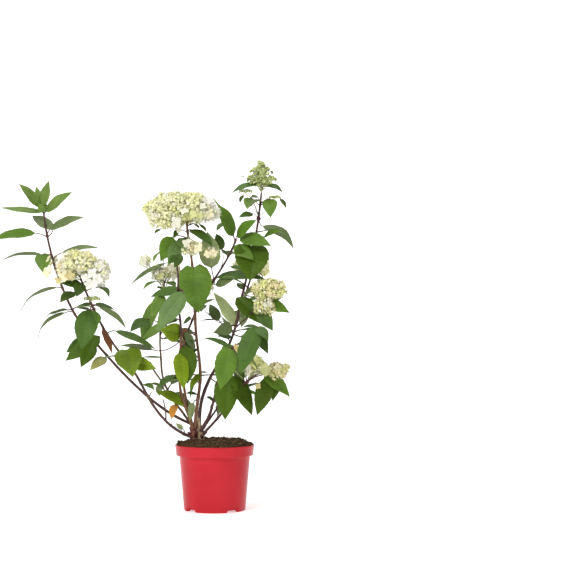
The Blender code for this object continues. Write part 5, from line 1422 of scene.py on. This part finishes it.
m, N, L_, bsdf = new_mat("pot_red")
tc = N.new("ShaderNodeTexCoord")
n1 = N.new("ShaderNodeTexNoise"); n1.inputs["Scale"].default_value = 14.0; n1.inputs["Detail"].default_value = 3.0
L_.new(tc.outputs["Object"], n1.inputs["Vector"])
ramp = N.new("ShaderNodeValToRGB")
ramp.color_ramp.elements[0].position = 0.3; ramp.color_ramp.elements[0].color = (0.475, 0.013, 0.022, 1)
ramp.color_ramp.elements[1].position = 0.7; ramp.color_ramp.elements[1].color = (0.545, 0.017, 0.028, 1)
L_.new(n1.outputs["Fac"], ramp.inputs["Fac"])
L_.new(ramp.outputs["Color"], bsdf.inputs["Base Color"])
n2 = N.new("ShaderNodeTexNoise"); n2.inputs["Scale"].default_value = 45.0; n2.inputs["Detail"].default_value = 2.0
L_.new(tc.outputs["Object"], n2.inputs["Vector"])
n3 = N.new("ShaderNodeTexNoise"); n3.inputs["Scale"].default_value = 900.0; n3.inputs["Detail"].default_value = 3.0
L_.new(tc.outputs["Object"], n3.inputs["Vector"])
mr = N.new("ShaderNodeMapRange"); mr.inputs["To Min"].default_value = 0.16; mr.inputs["To Max"].default_value = 0.30
L_.new(n3.outputs["Fac"], mr.inputs["Value"])
L_.new(mr.outputs["Result"], bsdf.inputs["Roughness"])
bp = N.new("ShaderNodeBump"); bp.inputs["Strength"].default_value = 0.06; bp.inputs["Distance"].default_value = 0.002
L_.new(n2.outputs["Fac"], bp.inputs["Height"])
L_.new(bp.outputs["Normal"], bsdf.inputs["Normal"])
bsdf.inputs["Specular IOR Level"].default_value = 0.45
bsdf.inputs["IOR"].default_value = 1.28
MATS["pot_red"] = m

pot_heap = Heap([MATS["pot_red"]])
SEG = 240
NOTCH_ANGLES, NOTCH_HALF, NOTCH_H = (40.0, 130.0, 220.0, 310.0), 14.0, 0.0105


def pot_r_body(z):
    t = z / (POT_H - BAND_H)
    return BASE_R + (NECK_R - BASE_R) * t


profile = [(0.0, 0.0080), (0.058, 0.0080), (0.0615, 0.0070), (0.0629, 0.0040), (0.0655, 0.0), (BASE_R - 0.0022, 0.0), (BASE_R - 0.0010, 0.0003),
           (BASE_R - 0.0002, 0.0012), (pot_r_body(0.003), 0.003)]
for j in range(1, 15):
    z = 0.003 + (POT_H - BAND_H - 0.0060) * j / 14
    profile.append((pot_r_body(z), z))
zb = POT_H - BAND_H
profile += [(NECK_R + 0.0002, zb - 0.0020), (NECK_R + 0.0010, zb - 0.0008), (NECK_R + 0.0026, zb - 0.0002),
            (RIM_FOOT_R - 0.0014, zb), (RIM_FOOT_R - 0.0004, zb + 0.0005), (RIM_FOOT_R, zb + 0.0016)]
for j in range(1, 8):
    t = j / 8
    profile.append((RIM_FOOT_R + (RIM_R - RIM_FOOT_R) * t - 0.0003 * math.sin(math.pi * t), zb + 0.0016 + (BAND_H - 0.0046) * t))
profile += [(RIM_R, POT_H - 0.0030), (RIM_R + 0.0003, POT_H - 0.0016), (RIM_R + 0.0001, POT_H - 0.0006), (RIM_R - 0.0006, POT_H),
            (RIM_R - 0.0015, POT_H - 0.0001), (RIM_R - 0.0021, POT_H - 0.0008), (RIM_R - 0.0023, POT_H - 0.0020),
            (RIM_FOOT_R - WALL - 0.0008, zb + WALL + 0.0020), (NECK_R - WALL + 0.0006, zb + 0.0008), (NECK_R - WALL, zb - 0.0030),
            (BASE_R - WALL, 0.0110), (BASE_R - WALL - 0.003, 0.0100), (0.0, 0.0100)]
verts, faces, start = [], [], []
for idx, (r, z) in enumerate(profile):
    if r < 1e-9:
        start.append((len(verts), 1))
        verts.append((0, 0, z))
        continue
    start.append((len(verts), SEG))
    for k in range(SEG):
        a = 2 * math.pi * k / SEG
        rr, zz = r, z
        # drain notches lift the base edge at four places
        for ang in NOTCH_ANGLES:
            da = abs((math.degrees(a) - ang + 180) % 360 - 180)
            if da < NOTCH_HALF and r > 0.0630:
                lift = NOTCH_H * (1 - (da / NOTCH_HALF) ** 2) ** 0.42
                inside = idx >= len(profile) - 3
                zz = max(z, lift + (0.0022 if inside else 0.0))
        verts.append((rr * math.cos(a), rr * math.sin(a), zz))
for (s0, c0), (s1, c1) in zip(start, start[1:]):
    for k in range(SEG):
        k2 = (k + 1) % SEG
        if c0 == 1:
            faces.append((s0, s1 + k2, s1 + k))
        elif c1 == 1:
            faces.append((s0 + k, s0 + k2, s1))
        else:
            faces.append((s0 + k, s0 + k2, s1 + k2, s1 + k))
pot_heap.add(verts, faces, "pot_red")
pot_ob = pot_heap.make("pot_shell", sharp=40)

# ------------------------------------------------------------------ what stands for what

for ob in (pot_ob, soil_ob, crumb_ob):
    ob.data.transform(Matrix.Translation((POT_X, 0.0, 0.0)))
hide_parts("pot")
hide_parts("soil")
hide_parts("stem_base", "stem_clump")
nodes = sorted(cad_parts)
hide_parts(*[n for n in nodes if (n.startswith("stem_") or n.startswith("twig_")) and n not in ("stem_base", "stem_clump")])
LEFT = [n for n in nodes if n.startswith(("leaves_far_left", "leaves_left"))]
BACK = [n for n in nodes if n.startswith(("leaves_back_right", "leaves_back_centre", "leaves_back_low"))]
MIDDLE = [n for n in nodes if n.startswith(("leaves_mid_left", "leaves_centre", "leaves_back_left"))]
RIGHT = [n for n in nodes if n.startswith("leaves_") and n not in LEFT + BACK + MIDDLE]
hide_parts(*LEFT)
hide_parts(*BACK)
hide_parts(*MIDDLE)
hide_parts(*RIGHT)
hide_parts("bloom_bud")
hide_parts("bloom_back_right", "bloom_back_centre")
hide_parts("bloom_centre")
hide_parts("bloom_left", "bloom_back_left", "bloom_centre_low")
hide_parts("bloom_low_right", "bloom_right")
for ob, slot in ((pot_ob, "pot_plastic"), (soil_ob, "soil"), (crumb_ob, "soil"), (stub, "stub_bark"), (stems, "stem_bark"),
                 (twig_ob, "stem_bark"), (stalk_ob, "bud"), (bud_ob, "bud"), (florets_left, "floret"), (florets_right, "floret"), (florets_centre, "floret"),
                 (florets_back, "floret"), (sepal_ob, "floret"), *((o, "leaf") for o in leaf_obs.values())):
    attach(ob, "root")

# ------------------------------------------------------------------ floor, light, camera

floor_heap_mat, N, L_, bsdf = new_mat("studio_white")
bsdf.inputs["Base Color"].default_value = (0.90, 0.90, 0.90, 1)
bsdf.inputs["Roughness"].default_value = 0.85
bsdf.inputs["Specular IOR Level"].default_value = 0.1
bsdf.inputs["Emission Color"].default_value = (1, 1, 1, 1)
bsdf.inputs["Emission Strength"].default_value = 0.45
fh = Heap([floor_heap_mat])
fh.add([(-9.0, -9.0, 0.0), (9.0, -9.0, 0.0), (9.0, 2.6, 0.0), (-9.0, 2.6, 0.0)], [(0, 1, 2, 3)], "studio_white")
floor = fh.make("floor", smooth=False)
# further off the floor sweeps up into a backdrop that gives its own light, because the lamps don't reach it
far_mat, N, L_, bsdf = new_mat("studio_far")
bsdf.inputs["Base Color"].default_value = (0.90, 0.90, 0.90, 1)
bsdf.inputs["Roughness"].default_value = 0.85
bsdf.inputs["Specular IOR Level"].default_value = 0.1
bsdf.inputs["Emission Color"].default_value = (1, 1, 1, 1)
bsdf.inputs["Emission Strength"].default_value = 0.85
bh = Heap([far_mat])
prof = [(2.6, 0.0), (12.0, 0.0)]
for j in range(1, 15):
    a = math.radians(90 * j / 14)
    prof.append((12.0 + 1.6 * math.sin(a), 1.6 - 1.6 * math.cos(a)))
prof.append((13.6, 6.0))
verts, faces = [], []
for y, z in prof:
    verts += [(-9.0, y, z), (9.0, y, z)]
for i in range(len(prof) - 1):
    faces.append((2 * i, 2 * i + 1, 2 * i + 3, 2 * i + 2))
bh.add(verts, faces, "studio_far")
backdrop = bh.make("backdrop", smooth=True)

scene = bpy.context.scene
world = bpy.data.worlds.new("studio")
scene.world = world
world.use_nodes = True
bg = world.node_tree.nodes["Background"]
bg.inputs["Color"].default_value = (1.0, 1.0, 1.0, 1)
bg.inputs["Strength"].default_value = 0.36


def area(name, loc, target, size, power, colour=(1, 1, 1)):
    from mathutils import Vector
    li = bpy.data.lights.new(name, "AREA")
    li.shape = "RECTANGLE"
    li.size, li.size_y = size
    li.energy = power
    li.color = colour
    ob = bpy.data.objects.new(name, li)
    scene.collection.objects.link(ob)
    ob.location = loc
    ob.rotation_euler = (Vector(target) - Vector(loc)).to_track_quat("-Z", "Y").to_euler()
    return ob


area("key", (-1.7, -3.1, 2.7), (0, 0, 0.45), (2.0, 2.0), 102.0)
area("fill", (2.0, -3.0, 1.3), (0, 0, 0.45), (1.2, 2.0), 11.0)
area("top", (0.0, 0.6, 3.2), (0, 0, 0.4), (2.0, 2.0), 47.0)

cam = bpy.data.cameras.new("camera")
cam_ob = bpy.data.objects.new("camera", cam)
scene.collection.objects.link(cam_ob)
cam.sensor_width = 36.0
cam.sensor_fit = "HORIZONTAL"
cam.lens = 36.0 * FOCAL_PX / FRAME_PX
cam.clip_end = 60.0
cam_ob.location = tuple(EYE)
cam_ob.rotation_euler = (math.radians(90.0), 0.0, 0.0)
scene.camera = cam_ob
scene.view_settings.view_transform = "Standard"
scene.view_settings.look = "None"
scene.view_settings.exposure = 0.0
